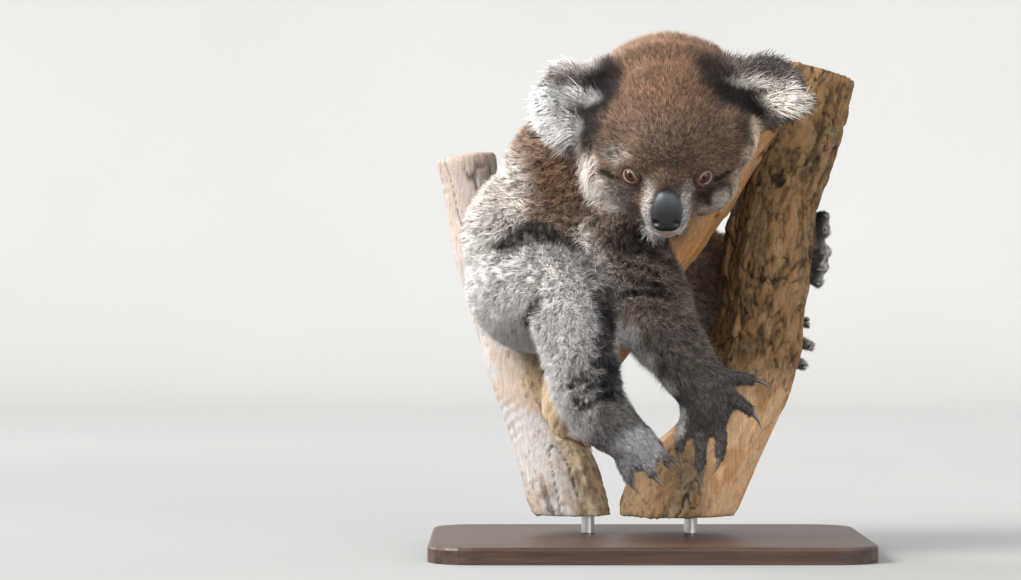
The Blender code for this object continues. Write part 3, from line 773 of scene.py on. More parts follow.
# centre, radii, colour and strength; first the whole animal, in the model's axes
BODY_PATCHES = [
    ((-26, 60, 410), (70, 60, 60), rgb(158, 128, 106), 0.5),
    # painted shadow under the chin, on the arm and chest below it
    ((-8, -96, 300), (36, 60, 18), rgb(56, 48, 43), 0.92),
    ((-86, -48, 356), (32, 40, 32), rgb(120, 94, 77), 0.85),    # brown saddle behind the shoulder
    ((-62, -48, 326), (30, 34, 26), rgb(116, 95, 82), 0.6),
    # painted light on the shaded underside of the rump and thigh
    ((-112, -50, 212), (60, 80, 26), rgb(255, 250, 246), 0.9),
    ((-134, 0, 334), (34, 70, 56), rgb(214, 205, 198), 0.85),   # silver on the back
    ((-118, 0, 250), (70, 90, 60), rgb(246, 240, 236), 0.95),   # rump
    ((-100, -84, 260), (44, 50, 36), rgb(236, 229, 225), 0.8),
    ((-43, -96, 202), (17, 60, 68), rgb(54, 51, 52), 0.85),      # painted shadow of the near arm on the front of the shin
    # the white of the shin's left side, made whiter by painted light where it lies in shade
    ((-94, -84, 190), (24, 50, 72), rgb(255, 252, 250), 0.92),
    ((-76, -96, 224), (26, 50, 30), rgb(244, 238, 235), 0.8),
    ((-90, -84, 150), (15, 60, 24), rgb(255, 252, 250), 0.95),
    ((-72, -84, 124), (15, 60, 16), rgb(246, 242, 240), 0.9),
    ((-34, -96, 134), (24, 60, 18), rgb(112, 108, 106), 0.75),
    ((20, -96, 292), (30, 60, 30), rgb(54, 46, 42), 0.8),       # painted shadow of the chin on the front of the upper arm
    ((8, -96, 262), (36, 60, 32), rgb(116, 104, 96), 0.85),
    ((24, -96, 205), (30, 40, 38), rgb(112, 104, 99), 0.6),      # forearm, and the pale edge under it: pale fur, lit further by painted light where it faces into shade
    ((-24, -84, 204), (14, 70, 20), rgb(255, 250, 245), 0.95),
    ((-9, -84, 178), (14, 70, 20), rgb(255, 250, 245), 0.95),
    ((7, -84, 153), (14, 70, 20), rgb(250, 244, 239), 0.95),
    ((20, -84, 128), (13, 70, 18), rgb(226, 221, 217), 0.85),
    ((140, 80, 200), (54, 70, 34), rgb(235, 232, 230), 0.8),    # the far foot, lightened by painted light where it lies in the shade of the trunk and body
    ((8, 24, 330), (60, 60, 60), rgb(222, 214, 206), 0.8),      # white chest
    ((62, 60, 230), (16, 90, 16), rgb(214, 202, 188), 0.8),
    ((-14, -96, 108), (28, 34, 18), rgb(214, 213, 219), 0.85),  # pale toes
    ((168, 50, 288), (44, 60, 34), rgb(235, 230, 226), 0.85),  # the far hand and arm, lightened by painted light where they lie in shade
    ((70, 104, 280), (66, 44, 44), rgb(215, 185, 165), 0.75),
]
# on the near arm alone: the pale edge that stands out from the flank
ARM_PATCHES = [((x, -96, z), (6.5, 60, 16), rgb(230, 220, 211), 0.95) for x, z in [
    (-62, 306), (-59, 286), (-54, 266), (-46, 246), (-37, 228), (-29, 212)]]
print("patches on the body:", len(BODY_PATCHES) + len(ARM_PATCHES))

# %% Patches of the head and the ears
# in the head's own axes
CHIN_PATCH = ((0, -66, -50), (22, 24, 12), rgb(250, 246, 242), 0.98)
HEAD_PATCHES = [
    ((0, 24, 64), (64, 60, 42), rgb(126, 100, 82), 0.8),        # crown
    ((0, -50, 34), (30, 20, 20), rgb(108, 92, 81), 0.5),        # brow
    ((-44, -38, 17), (17, 14, 11), rgb(160, 151, 145), 0.75),   # pale over the right eye
    ((-44, -50, -20), (18, 18, 15), rgb(150, 140, 135), 0.85),  # grey under the eyes
    ((42, -50, -20), (18, 18, 16), rgb(56, 48, 43), 0.9),
    ((-52, -38, -1.5), (12, 18, 3.4), rgb(32, 26, 24), 0.92),   # streaks from the outer corners
    ((50, -40, -1), (12, 18, 3.4), rgb(32, 26, 24), 0.92),
    ((0, -60, 3), (13, 12, 9), rgb(100, 88, 80), 0.7),          # bridge of the nose
    ((-17, -64, -5), (7, 12, 10), rgb(166, 160, 156), 0.75),
    ((19, -64, -5), (7, 12, 10), rgb(158, 152, 148), 0.75),
    ((-17.6, -74, -24), (5.8, 14, 26), rgb(196, 190, 187), 0.8),  # rims beside the nose
    ((17.4, -74, -24), (5.6, 14, 26), rgb(188, 181, 177), 0.8),
    ((0, -78, -38), (17, 16, 13), rgb(204, 197, 192), 0.85),    # between the nose and the lip
    CHIN_PATCH,
]
# on the head alone, in the model's axes: the pale fluff along the jaws
CHEEK_PATCHES = [((x, -60, z), (wide, 70, 17), colour, 0.95) for x, z, wide, colour in [
    (-60, 392, 9, rgb(200, 188, 180)), (-58, 368, 11, rgb(226, 216, 209)), (-50, 345, 12, rgb(230, 221, 215)),
    (-34, 325, 12, rgb(226, 217, 211)), (-16, 312, 11, rgb(204, 195, 189)), (93, 398, 9, rgb(224, 204, 184)),
    (87, 374, 9, rgb(232, 212, 194)), (78, 353, 10, rgb(230, 213, 196)), (63, 334, 11, rgb(214, 198, 184)),
    (45, 321, 9, rgb(190, 176, 164))]]
# on the ears and round their roots, in the model's axes
EAR_PATCHES = [
    ((-43, -66, 444), (21, 60, 30), rgb(44, 39, 38), 0.95),     # black at the roots
    ((-51, -66, 426), (19, 60, 22), rgb(20, 18, 20), 0.98),
    ((-54, -66, 402), (14, 60, 20), rgb(26, 23, 23), 0.94),
    ((60, -66, 450), (22, 60, 28), rgb(50, 45, 43), 0.92),
    ((72, -66, 429), (30, 60, 19), rgb(32, 29, 28), 0.97),
    ((92, -66, 421), (17, 60, 11), rgb(24, 21, 21), 0.97),
    ((80, -66, 400), (12, 60, 20), rgb(46, 40, 38), 0.8),
    ((-84, -92, 434), (34, 56, 14), rgb(255, 253, 252), 0.98),  # white inside
    ((-90, -92, 408), (25, 56, 20), rgb(255, 251, 247), 0.98),
    ((100, -92, 447), (30, 56, 7), rgb(226, 220, 214), 0.85),
    ((126, -92, 432), (26, 56, 12), rgb(236, 228, 218), 0.97),
    ((-76, -70, 466), (34, 44, 11), rgb(196, 190, 187), 0.85),  # grey tops
    ((118, -70, 467), (38, 40, 9), rgb(104, 98, 95), 0.85),
]
print("patches on the head:", len(HEAD_PATCHES) + len(CHEEK_PATCHES) + len(EAR_PATCHES))


# %% Paint the markings, and the painted light and shade
def in_patch(points, centre, radii):
    """1 in the middle of a patch, fading to 0 past its edge."""
    return 1 - ramp(np.linalg.norm((points - centre) / radii, axis=1), 0.62, 1.28)


def add_patches(colours, points, patches):
    for centre, radii, colour, strength in patches:
        colours += strength * in_patch(points, centre, radii)[:, None] * (colour - colours)


def markings_and_painted_light(points, kinds, edges):
    tones = np.array([PART_TONES[kind] for kind in KINDS])[kinds]
    tones = smoothed(tones, edges, 50)
    # edges of the patches wander, as they do where hairs of two colours mix
    drift = np.column_stack([rough_noise(points, 14, 2, seed) - 0.5 for seed in (11, 12, 13)]) * 9
    add_patches(tones, points + drift, BODY_PATCHES)
    add_patches(tones, in_head(points + drift * 0.5), HEAD_PATCHES)
    fluff = tones.copy()
    add_patches(fluff, points + drift * 0.5, CHEEK_PATCHES)
    tones += is_part(kinds, "head")[:, None] * (fluff - tones)
    edge = tones.copy()
    add_patches(edge, points + drift * 0.4, ARM_PATCHES)
    tones += is_part(kinds, "upper_arm", "forearm")[:, None] * (edge - tones)
    add_patches(tones, points + drift * 0.7, EAR_PATCHES)
    return tones**1.13 * (0.88 + 0.24 * rough_noise(points, 24, 3, 5))[:, None]


tones = markings_and_painted_light(body, kinds, edges)
coat_tones = tones * (1 - 0.45 * fold_dark)[:, None]
tones = tones * (1 - 0.85 * fold_dark)[:, None]
rim, inner = lid_share < 0.26, (lid_share < 0.5) & (np.cos(lid_turn) < -0.8)
tones[rim] = rgb(204, 172, 156)
tones[lid_share < 0.06] = rgb(84, 54, 46)
tones[inner] = rgb(176, 122, 106)
tones[is_lip] = rgb(222, 170, 156)
print("mean tone:", tones.mean(axis=0).round(3))


# %% [markdown]
# ## Unwrapping the skin
# The coat's colours are baked when the model leaves Blender, so every tuft needs a place on the
# sheet they are baked on. Unwrapping a million blades would fill that sheet with specks. So a tuft
# takes the place of its root on the unwrap of the skin.

# %% Unwrap
def unwrapped(mesh, margin=0.002):
    holder = add_object("holder", mesh)
    bpy.context.view_layer.objects.active = holder
    holder.select_set(True)
    mesh.uv_layers.new(name="OFBake")
    bpy.ops.object.mode_set(mode="EDIT")
    bpy.ops.mesh.select_all(action="SELECT")
    bpy.ops.uv.smart_project(angle_limit=math.radians(66), island_margin=margin)
    bpy.ops.object.mode_set(mode="OBJECT")
    bpy.data.objects.remove(holder)


unwrapped(skin)
corners, loops = triangles_of(skin)
skin_uv = np.empty(len(skin.loops) * 2, np.float32)
skin.uv_layers["OFBake"].data.foreach_get("uv", skin_uv)
skin_uv = skin_uv.reshape(-1, 2)
print("unwrapped", len(corners), "triangles")

# %% [markdown]
# ## Tufts
# A tuft is a thin blade with three sides: a root, a middle and a point. Blender's hair would give
# finer strands, but this coat has to leave Blender as a mesh. A blade rises from the skin, then
# bends over along the lie of the coat. Blades close together lean to one another, which makes the
# small locks of a woolly coat. Roots are dark and points are light, so depth reads as shadow.


# %% Scatter roots over the skin
def scatter(density, seed):
    """Roots spread evenly at so many for each square millimetre; density holds one value a point."""
    a, b, c = (body[corners[:, k]] for k in range(3))
    area = np.linalg.norm(np.cross(b - a, c - a), axis=1) / 2
    wanted = area * density[corners].mean(axis=1)
    total = np.cumsum(wanted)
    draw = np.random.default_rng(seed)
    marks = np.arange(draw.random(), total[-1], 1.0)
    face = np.searchsorted(total, marks).clip(0, len(corners) - 1)
    u, v = draw.random((2, len(face)))
    flip = u + v > 1
    u[flip], v[flip] = 1 - u[flip], 1 - v[flip]
    weights = np.column_stack([1 - u - v, u, v])[:, :, None]

    def mixed(values):
        return np.sum(np.asarray(values, float)[corners[face]].reshape(len(face), 3, -1) * weights, axis=1)

    # clumps stand up and catch light, least so where the coat is short
    clumps = rough_noise(mixed(body), 7.5, 2, 25) - 0.5
    kind = kinds[corners[face, 0]]
    clumps *= np.where(is_part(kind, "head", "hand", "foot"), 0.45, 1.0)
    return {
        "shade": 1 + 0.9 * clumps, "lift": 1 + 0.8 * clumps, "face": face, "kind": kind,
        "root": mixed(body), "normal": unit(mixed(normals)), "way": mixed(way),
        "depth": mixed(depth * (1 - 0.65 * fold_dark))[:, 0], "tone": mixed(coat_tones),
        "uv": np.sum(skin_uv[loops[face]] * weights, axis=1),
    }


def lock_centres(points, size, seed):
    """The centre of the lock that each root belongs to: the nearest of one stray point a cell."""
    cell = np.floor(points / size)
    best = np.full(len(points), np.inf)
    centre = np.zeros_like(points)
    for step in np.ndindex(3, 3, 3):
        near = cell + np.array(step) - 1
        spot = (near + np.column_stack([lattice(near, seed + k) for k in range(3)])) * size
        far = np.linalg.norm(spot - points, axis=1)
        closer = far < best
        best[closer] = far[closer]
        centre[closer] = spot[closer]
    return centre


print("faces to plant:", len(corners))

# %% Tone of a tuft
ROOT_SHADE, MIDDLE_SHADE, POINT_SHADE = 0.3, 0.84, 1.4      # times the tone


def tuft_tones(roots, point, cell, seed, fleck, draw):
    """One colour a blade: that of the skin below, varied by hair, by fleck and by lock."""
    tones = roots["tone"] * roots["shade"][:, None]
    tones = tones * draw.uniform(0.55, 1.45, len(point))[:, None]
    # a tuft whose point hangs over a crease lies in its shadow
    shadow = np.zeros(len(point))
    for share, _, darkness in creases_of(point, roots["normal"], roots["kind"]):
        shadow = np.maximum(shadow, darkness * share)
    tones = tones * (1 - 0.85 * shadow)[:, None]
    tones = tones * (1 - fleck / 2 + fleck * lattice(np.floor(roots["root"] / 2.2), seed))[:, None]
    return tones * (1 + 0.3 * (lattice(cell, seed + 3) - 0.5))[:, None]


print("shades of a blade:", ROOT_SHADE, MIDDLE_SHADE, POINT_SHADE)

# %% Build blades from roots
UV_PATCH = 0.003            # how much of the baked sheet a tuft takes


def blades(roots, length, width, rise, seed, lock=7.0, gather=0.5, spread=0.25, swirl=0.0,
           fleck=0.6, tall=True):
    """Points, triangles, colours, normals and UVs of the blades; tall ones have a middle.

    lock is the size of a lock, and gather is how far its blades lean together. spread and swirl are
    how far a blade and a lock stray from the lie of the coat, and fleck is how much tones differ.
    """
    draw = np.random.default_rng(seed)
    count = len(roots["root"])
    root, normal = roots["root"], roots["normal"]
    lean = lock_centres(root, lock, seed) - root
    cell = np.floor((root + lean) * 4)
    twist = 2 * np.column_stack([lattice(cell, seed + k) for k in range(3)]) - 1
    ahead = unit(roots["way"] + spread * draw.normal(size=(count, 3)) + swirl * twist)
    ahead = along_skin(ahead, normal)
    side = np.cross(normal, ahead)
    length = (length * draw.uniform(0.8, 1.2, count))[:, None]
    height = (rise * roots["lift"] * draw.uniform(0.75, 1.12, count))[:, None]
    height = np.minimum(height, 0.94 * length)
    reach = np.sqrt(length**2 - height**2)
    lean -= np.sum(lean * normal, axis=1, keepdims=True) * normal
    middle = root + 0.62 * height * normal + 0.36 * reach * ahead + 0.3 * gather * lean
    point = root + height * normal + reach * ahead + gather * lean
    half = (width * draw.uniform(0.75, 1.25, count) / 2)[:, None]
    tones = tuft_tones(roots, point, cell, seed, fleck, draw)

    def ring(centre, heading, size):
        across = np.cross(heading, side)
        outwards = [side * size, across * size * 0.7, -side * size]
        return [centre + out for out in outwards], outwards

    rows, outs = ring(root - 0.7 * normal, unit(middle - root), half)
    shades, heights, faces = [ROOT_SHADE] * 3, [0.0] * 3, [(0, 2, 1)]
    if tall:
        middle_rows, middle_outs = ring(middle, unit(point - root), half * 0.85)
        rows, outs = rows + middle_rows, outs + middle_outs
        shades += [MIDDLE_SHADE] * 3
        heights += [0.5] * 3
    top = len(rows)
    for k in range(3):
        n = (k + 1) % 3
        faces += [(k, n, 3 + n), (k, 3 + n, 3 + k), (3 + k, 3 + n, top)] if tall else [(k, n, top)]
    rows.append(point)
    outs.append(point - middle)
    shades.append(POINT_SHADE)
    heights.append(1.0)
    size = top + 1
    points = np.stack(rows, axis=1).reshape(-1, 3)
    out = unit(unit(np.stack(outs, axis=1)) * 0.55 + normal[:, None]).reshape(-1, 3)
    colours = (tones[:, None] * np.array(shades)[None, :, None]).reshape(-1, 3)
    faces = (np.array(faces)[None] + (np.arange(count) * size)[:, None, None]).reshape(-1, 3)
    patch = np.column_stack([draw.uniform(-0.4, 0.4, size), np.array(heights) - 0.5]) * UV_PATCH
    uv = np.clip(roots["uv"][:, None] + patch[None], 0, 1).reshape(-1, 2)
    return points, faces, colours, out, uv


print("each tuft takes", UV_PATCH, "of the sheet")

# %% Show blades as pieces of the coat
MOST_TRIANGLES = 190000     # in one piece


def show_coat(name, parts, per_blade, material):
    """Turns blades, of so many triangles each, into pieces that are not too heavy."""
    points, faces, colours, out, uv = parts
    block = len(faces) // max(1, math.ceil(len(faces) / MOST_TRIANGLES))
    block = math.ceil(block / per_blade) * per_blade
    for number, start in enumerate(range(0, len(faces), block)):
        chosen = faces[start:start + block]
        first, last = chosen.min(), chosen.max() + 1
        mesh = mesh_from_arrays(f"{name}_{number + 1}", points[first:last] * MM, chosen - first)
        paint(mesh, colours[first:last])
        shade_smooth(mesh)
        layer = mesh.uv_layers.new(name="OFBake")
        layer.data.foreach_set("uv", uv[chosen.ravel()].astype(np.float32).ravel())
        mesh.normals_split_custom_set_from_vertices(out[first:last].tolist())
        show(mesh.name, mesh, material, "fur")
    return len(faces)


print("a piece of the coat has up to", MOST_TRIANGLES, "triangles")

# %% [markdown]
# ## Materials
# Each material is a small tree of nodes: a colour that wanders with procedural noise, and a bump
# where the surface has a grain too fine to model. The broad colours come from the meshes, where
# every point holds one, because noise alone can't know where an ear ends. The nodes add the specks.


# %% A helper for material nodes
class Shader:
    """A material with a Principled surface and short ways to add nodes to it."""

    def __init__(self, name, **values):
        self.material = bpy.data.materials.new(name)
        self.material.use_nodes = True
        self.tree = self.material.node_tree
        self.surface = self.tree.nodes["Principled BSDF"]
        for socket, value in values.items():
            self.surface.inputs[socket.replace("_", " ")].default_value = value

    def node(self, kind, settings=None, **inputs):
        made = self.tree.nodes.new("ShaderNode" + kind)
        for key, value in (settings or {}).items():
            setattr(made, key, value)
        for key, value in inputs.items():
            self.put(made.inputs[key.replace("_", " ")], value)
        return made

    def put(self, socket, value):
        if isinstance(value, bpy.types.NodeSocket):
            self.tree.links.new(value, socket)
        else:
            socket.default_value = value

    def places(self):
        """Coordinates in millimetres, the model's own."""
        found = self.node("TexCoord").outputs["Object"]
        scaled = self.node("VectorMath", {"operation": "SCALE"})
        self.put(scaled.inputs[0], found)
        scaled.inputs["Scale"].default_value = 1 / MM
        return scaled.outputs[0]

    def stretched(self, places, factors):
        made = self.node("VectorMath", {"operation": "MULTIPLY"})
        self.put(made.inputs[0], places)
        made.inputs[1].default_value = factors
        return made.outputs[0]

    def noise(self, places, size, detail=3.0, rough=0.5):
        made = self.node("TexNoise", Vector=places, Scale=1 / size, Detail=detail, Roughness=rough)
        return made.outputs["Fac"]

    def ramp(self, value, *stops):
        made = self.node("ValToRGB", Fac=value)
        ramp = made.color_ramp
        while len(ramp.elements) < len(stops):
            ramp.elements.new(0.5)
        for element, (place, colour) in zip(ramp.elements, stops):
            element.position = place
            element.color = (*colour, 1.0)
        return made.outputs["Color"]

    def mix(self, how, share, a, b):
        made = self.node("Mix", {"data_type": "RGBA", "blend_type": how})
        for socket, value in ((0, share), (6, a), (7, b)):      # the factor, and the two colours
            self.put(made.inputs[socket], value)
        return made.outputs[2]

    def paint(self):
        return self.node("Attribute", {"attribute_name": "colour"}).outputs["Color"]

    def colour(self, shades, share=1.0, base=None):
        """Darkens the colours of the mesh, or a base, by these shades."""
        base = base or self.paint()
        self.put(self.surface.inputs["Base Color"], self.mix("MULTIPLY", share, base, shades))

    def bump(self, height, distance, strength=1.0):
        made = self.node("Bump", Height=height, Distance=distance * MM, Strength=strength)
        self.put(self.surface.inputs["Normal"], made.outputs[0])


def grey(value):
    return (value, value, value)


print("half grey:", grey(0.5))

# %% Wool and skin
def make_wool():
    shader = Shader("wool", Roughness=0.82, Specular_IOR_Level=0.18)
    fleck = shader.ramp(shader.noise(shader.places(), 1.6, 2.0), (0.3, grey(0.74)), (0.72, grey(1.0)))
    shader.colour(fleck)
    return shader.material


def make_hide():
    shader = Shader("hide", Roughness=0.9, Specular_IOR_Level=0.1)
    fleck = shader.ramp(shader.noise(shader.places(), 1.1, 4.0), (0.3, grey(0.5)), (0.7, grey(0.95)))
    shader.colour(fleck)
    shader.bump(shader.noise(shader.places(), 0.7, 3.0), 0.5, 0.7)
    return shader.material


WOOL, HIDE = make_wool(), make_hide()
print("materials:", WOOL.name, HIDE.name)

# %% [markdown]
# ## Planting the coat
# Each part has its own short wool: fine and dense on the face, the hands and the feet, longer on
# the back and the thighs. One coat of one length would make a toy of it. Over the wool stand sparse
# guard hairs, which blur the outline, and then the long hair that gives a koala its look: white
# fringes on the ears, pale fluff along the jaws, and a beard of white bristles on the chin.

# %% Length, width and density of the wool
# for each part: length, width, blades a square millimetre
BLADES = {"trunk_rear": (10.5, 0.95, 0.64), "trunk_front": (10, 0.9, 0.78), "neck": (9.5, 0.85, 0.8),
          "upper_arm": (8.5, 0.82, 0.86), "forearm": (7.5, 0.8, 0.95), "thigh": (9.5, 0.85, 0.8),
          "shin": (8.2, 0.8, 0.9), "head": (7, 0.75, 0.95), "ear": (8, 0.72, 1.05),
          "hand": (6, 0.7, 1.1), "foot": (6, 0.7, 1.1)}


def blade_values(which):
    return np.array([BLADES[kind][which] for kind in KINDS], float)[kinds]


blade_length = smoothed(blade_values(0), edges, 20)
blade_width = smoothed(blade_values(1), edges, 20)
density = smoothed(blade_values(2), edges, 10)
local = in_head(body)
from_nose = np.linalg.norm(local - NOSE_CENTRE, axis=1)
face = is_part(kinds, "head") & (local[:, 1] < 4)
face_share = 1 - ramp(local[:, 1], -30, 4)
near_eye = from_eyes(body)
face_length = 2.4 + 3.4 * ramp(from_nose, 30, 72) * ramp(near_eye, 10, 34)
blade_length = np.where(face, face_share * face_length + (1 - face_share) * blade_length, blade_length)
blade_width = np.where(face, face_share * 0.62 + (1 - face_share) * blade_width, blade_width)
density = np.where(face, 0.95 + 0.85 * face_share + 0.5 * (1 - ramp(from_nose, 18, 24)), density)
blade_length *= 1 - 0.6 * np.clip(1.3 * smoothed(fold_dark, edges, 6), 0, 1)
print("wool from", blade_length.min().round(1), "to", blade_length.max().round(1), "mm long")

# %% Leave lids, lip and the skin round the nose bare
LID_BARE, EYE_BARE, NOSE_BARE = 0.34, 9.4, 14.7     # a share of the lid, and two distances
by_lip = np.hypot((body[:, 0] - LIP_CENTRE[0]) / 15, (body[:, 2] - LIP_CENTRE[1] - 0.5) / 3.7) < 1
by_lip &= is_part(kinds, "head") & (local[:, 1] < -60)
is_lid = ~np.isnan(lid_share)
bare = np.where(is_lid, lid_share < LID_BARE, near_eye < EYE_BARE)
bare = bare | (from_nose < NOSE_BARE) | is_lip | by_lip
density = np.where(bare, 0, density * 0.95)
print("bare:", int(bare.sum()), "points")


# %% Plant the wool of every part
SWIRL_AND_RISE = {"hand": (0.2, 1.05), "foot": (0.2, 1.05), "ear": (0.25, 0.8)}     # others: (1.3, 1.1)


def plant(name, here, seed, share=1.0, length=None, rise=0.8, **settings):
    """Covers the chosen points of the skin with blades; share thins the usual density."""
    roots = scatter(np.where(here & ~bare, density * share, 0), seed)
    if not len(roots["root"]):
        return 0
    spots = corners[roots["face"], 0]
    long = blade_length[spots] if length is None else np.full(len(spots), float(length))
    high = np.minimum(roots["depth"] * rise, 0.8 * long)
    wide = settings.pop("width", blade_width[spots])
    per_blade = 10 if settings.get("tall", True) else 4
    return show_coat(name, blades(roots, long, wide, high, seed, **settings), per_blade, WOOL)


count = 0
for number, name in enumerate(FLESH):
    here = node == number
    if name == "head":
        count += plant("coat_face", here & face, 100, tall=False, gather=0.25, spread=0.45, swirl=0.5,
                       lock=3.6, fleck=1.1, rise=1.15)
        count += plant("coat_crown", here & ~face, 101, tall=False, gather=0.35, spread=0.5, swirl=0.8,
                       lock=4.5, fleck=1.1, rise=1.1)
    else:
        swirl, rise = SWIRL_AND_RISE.get(kind_of(name), (1.3, 1.1))
        count += plant("coat_" + name, here, 10 + number, tall=False, gather=0.5, spread=0.4, swirl=swirl,
                       lock=5.5, fleck=0.95, rise=rise)
print("wool:", count, "triangles")

# %% Guard hairs, and the fringes of the ears
woolly = ~is_part(kinds, "head", "ear", "hand", "foot") | (is_part(kinds, "head") & ~face)
count += plant("coat_guard", woolly & (fold_dark < 0.1), 130, share=0.1, length=13, rise=1.75, width=0.5,
               tall=False, gather=0.2, spread=0.6)
# white hair stands out most where it is seen against the light
pale = (coat_tones.mean(axis=1) > 0.62) & (normals[:, 1] > -0.75) & (body[:, 1] < 30)
count += plant("coat_pale_edge", woolly & pale, 135, share=0.24, length=12, rise=2.8, width=0.55,
               tall=False, gather=0.3, spread=0.45)
ears = is_part(kinds, "ear")
count += plant("coat_fringe", ears & (tones.mean(axis=1) > 0.42), 131, share=0.36, length=20, rise=1.7,
               width=1.0, gather=0.7, lock=9, spread=0.16)
count += plant("coat_ear_rim", ears, 132, share=0.22, length=12, rise=2.6, width=0.7, gather=0.3,
               spread=0.4)
print("with guard hairs and ears:", count, "triangles")


# %% Fluff of the jaws and beard
def patch_share(points, patches):
    """How much the patches cover each point."""
    return np.max([in_patch(points, patch[0], patch[1]) for patch in patches], axis=0)


usual_way = way.copy()
jaw = is_part(kinds, "head") & (patch_share(body, CHEEK_PATCHES) > 0.45) & (local[:, 2] < 30)
sideways = np.sign(local[:, :1]) * (1.0, 0, 0)
way = np.where(jaw[:, None], along_skin(sideways + (0, -0.15, -0.75), normals), way)
count += plant("coat_jaw", jaw, 133, share=0.3, length=13, rise=1.0, width=0.75, gather=0.5, lock=6,
               spread=0.2)
chin = is_part(kinds, "head") & (patch_share(local, [CHIN_PATCH]) > 0.4)
beard = unit((body - (LIP_CENTRE[0], 0, LIP_CENTRE[1] + 12)) * (1, 0, 1)) + (0, -0.5, -0.3)
way = np.where(chin[:, None], along_skin(beard, normals), way)
count += plant("coat_beard", chin, 134, share=0.13, length=12, rise=1.6, width=0.42, gather=0.2, lock=4,
               spread=0.14)
way = usual_way
print("coat:", count, "triangles")

# %% Show the skin
HIDE_SHADE = 0.5        # the skin lies in the shade of the coat
paint(skin, tones * HIDE_SHADE)
set_points(skin, body * MM)
show("skin", skin, HIDE, "fur", *FLESH)
print("skin stands for", len(FLESH), "solids")

# %% [markdown]
# ## Eyes
# A koala's iris is warm brown, and its pupil is an upright slit, which is rare in its kin. Cornea,
# iris and pupil could be meshes of their own, but at this size the gloss is all that tells them
# apart. So the ball is one glossy mesh, with its colours painted by angle from the line of sight.

# %% Eyeballs
EYE_RINGS, EYE_STEPS = 44, 56
GAZE = unit(np.array([0.2, -0.86, 0.46]))


def ball(rings, steps, axes, radius):
    """A sphere whose pole lies on the second axis: points, quads and the unit directions in its axes."""
    lean = np.linspace(1e-5, math.pi - 1e-5, rings)[:, None]
    turn = around(steps)[None]
    local = np.stack([np.sin(lean) * np.cos(turn), np.cos(lean) + 0 * turn, np.sin(lean) * np.sin(turn)],
                     axis=-1).reshape(-1, 3)
    return local @ axes * radius, ring_faces(steps, rings), local


def make_eye(side):
    out = (GAZE * mirror_of(side)) @ HEAD_TURN.T
    across = unit(np.cross(out, HEAD_TURN[:, 2]))
    axes = np.array([across, out, np.cross(across, out)])
    points, faces, local = ball(EYE_RINGS, EYE_STEPS, axes, EYE_RADIUS)
    lean = np.degrees(np.arccos(np.clip(local[:, 1], -1, 1)))
    turn = np.arctan2(local[:, 2], local[:, 0])
    fibre = noise(np.column_stack([turn * 9, lean * 0.1, 0 * turn]), 1.0, 31)
    iris = rgb(62, 36, 23) * (0.7 + 0.6 * fibre)[:, None]
    iris = iris * (0.45 + 0.7 * ramp(lean, 9, 20) - 0.5 * ramp(lean, 22, 36))[:, None]
    slit = np.hypot(local[:, 0] / math.sin(math.radians(9)), local[:, 2] / math.sin(math.radians(20)))
    shades = np.where(((slit < 1) & (local[:, 1] > 0))[:, None], rgb(8, 6, 6), iris)
    shades = shades + ramp(lean, 36, 39)[:, None] * (rgb(58, 36, 28) - shades)
    mesh = mesh_from_arrays("eye_ball_" + side, (points + EYES[side]) * MM, faces)
    shade_smooth(mesh)
    paint(mesh, shades)
    return show(mesh.name, mesh, EYE_GLOSS, "eye", "eye_" + side)


def make_eye_gloss():
    shader = Shader("eye_gloss", Roughness=0.25, Specular_IOR_Level=0.1, Coat_Weight=0.3, Coat_Roughness=0.04)
    speck = shader.ramp(shader.noise(shader.places(), 0.5, 3.0), (0.3, grey(0.8)), (0.7, grey(1.0)))
    shader.colour(speck)
    return shader.material


EYE_GLOSS = make_eye_gloss()
eyeballs = [make_eye(side) for side in EYES]
print("eyes:", [eye.name for eye in eyeballs])

# %% [markdown]
# ## Nose
# The nose is a long pad of bare leather, broader below than above, with a flat front that shines
# and two nostrils like commas low on its sides. A box with rounded edges would need its taper cut
# in. This is a ball squared off by a power of its directions, with hollows pressed in for nostrils.

# %% Nose pad
NOSE_RADII = np.array([14.0, 9.6, 19.6])
NOSE_SQUARE = np.array([0.74, 0.8, 0.76])       # 1 is round, 0 is a box
NOSE_DEEP = np.array([0, 4.0, 0])               # how far it is let into the muzzle
NOSE_TURN = turned(HEAD_PITCH - NOSE_LEAN, HEAD_ROLL, HEAD_YAW)
NOSTRIL = np.array([9.6, -11.0])


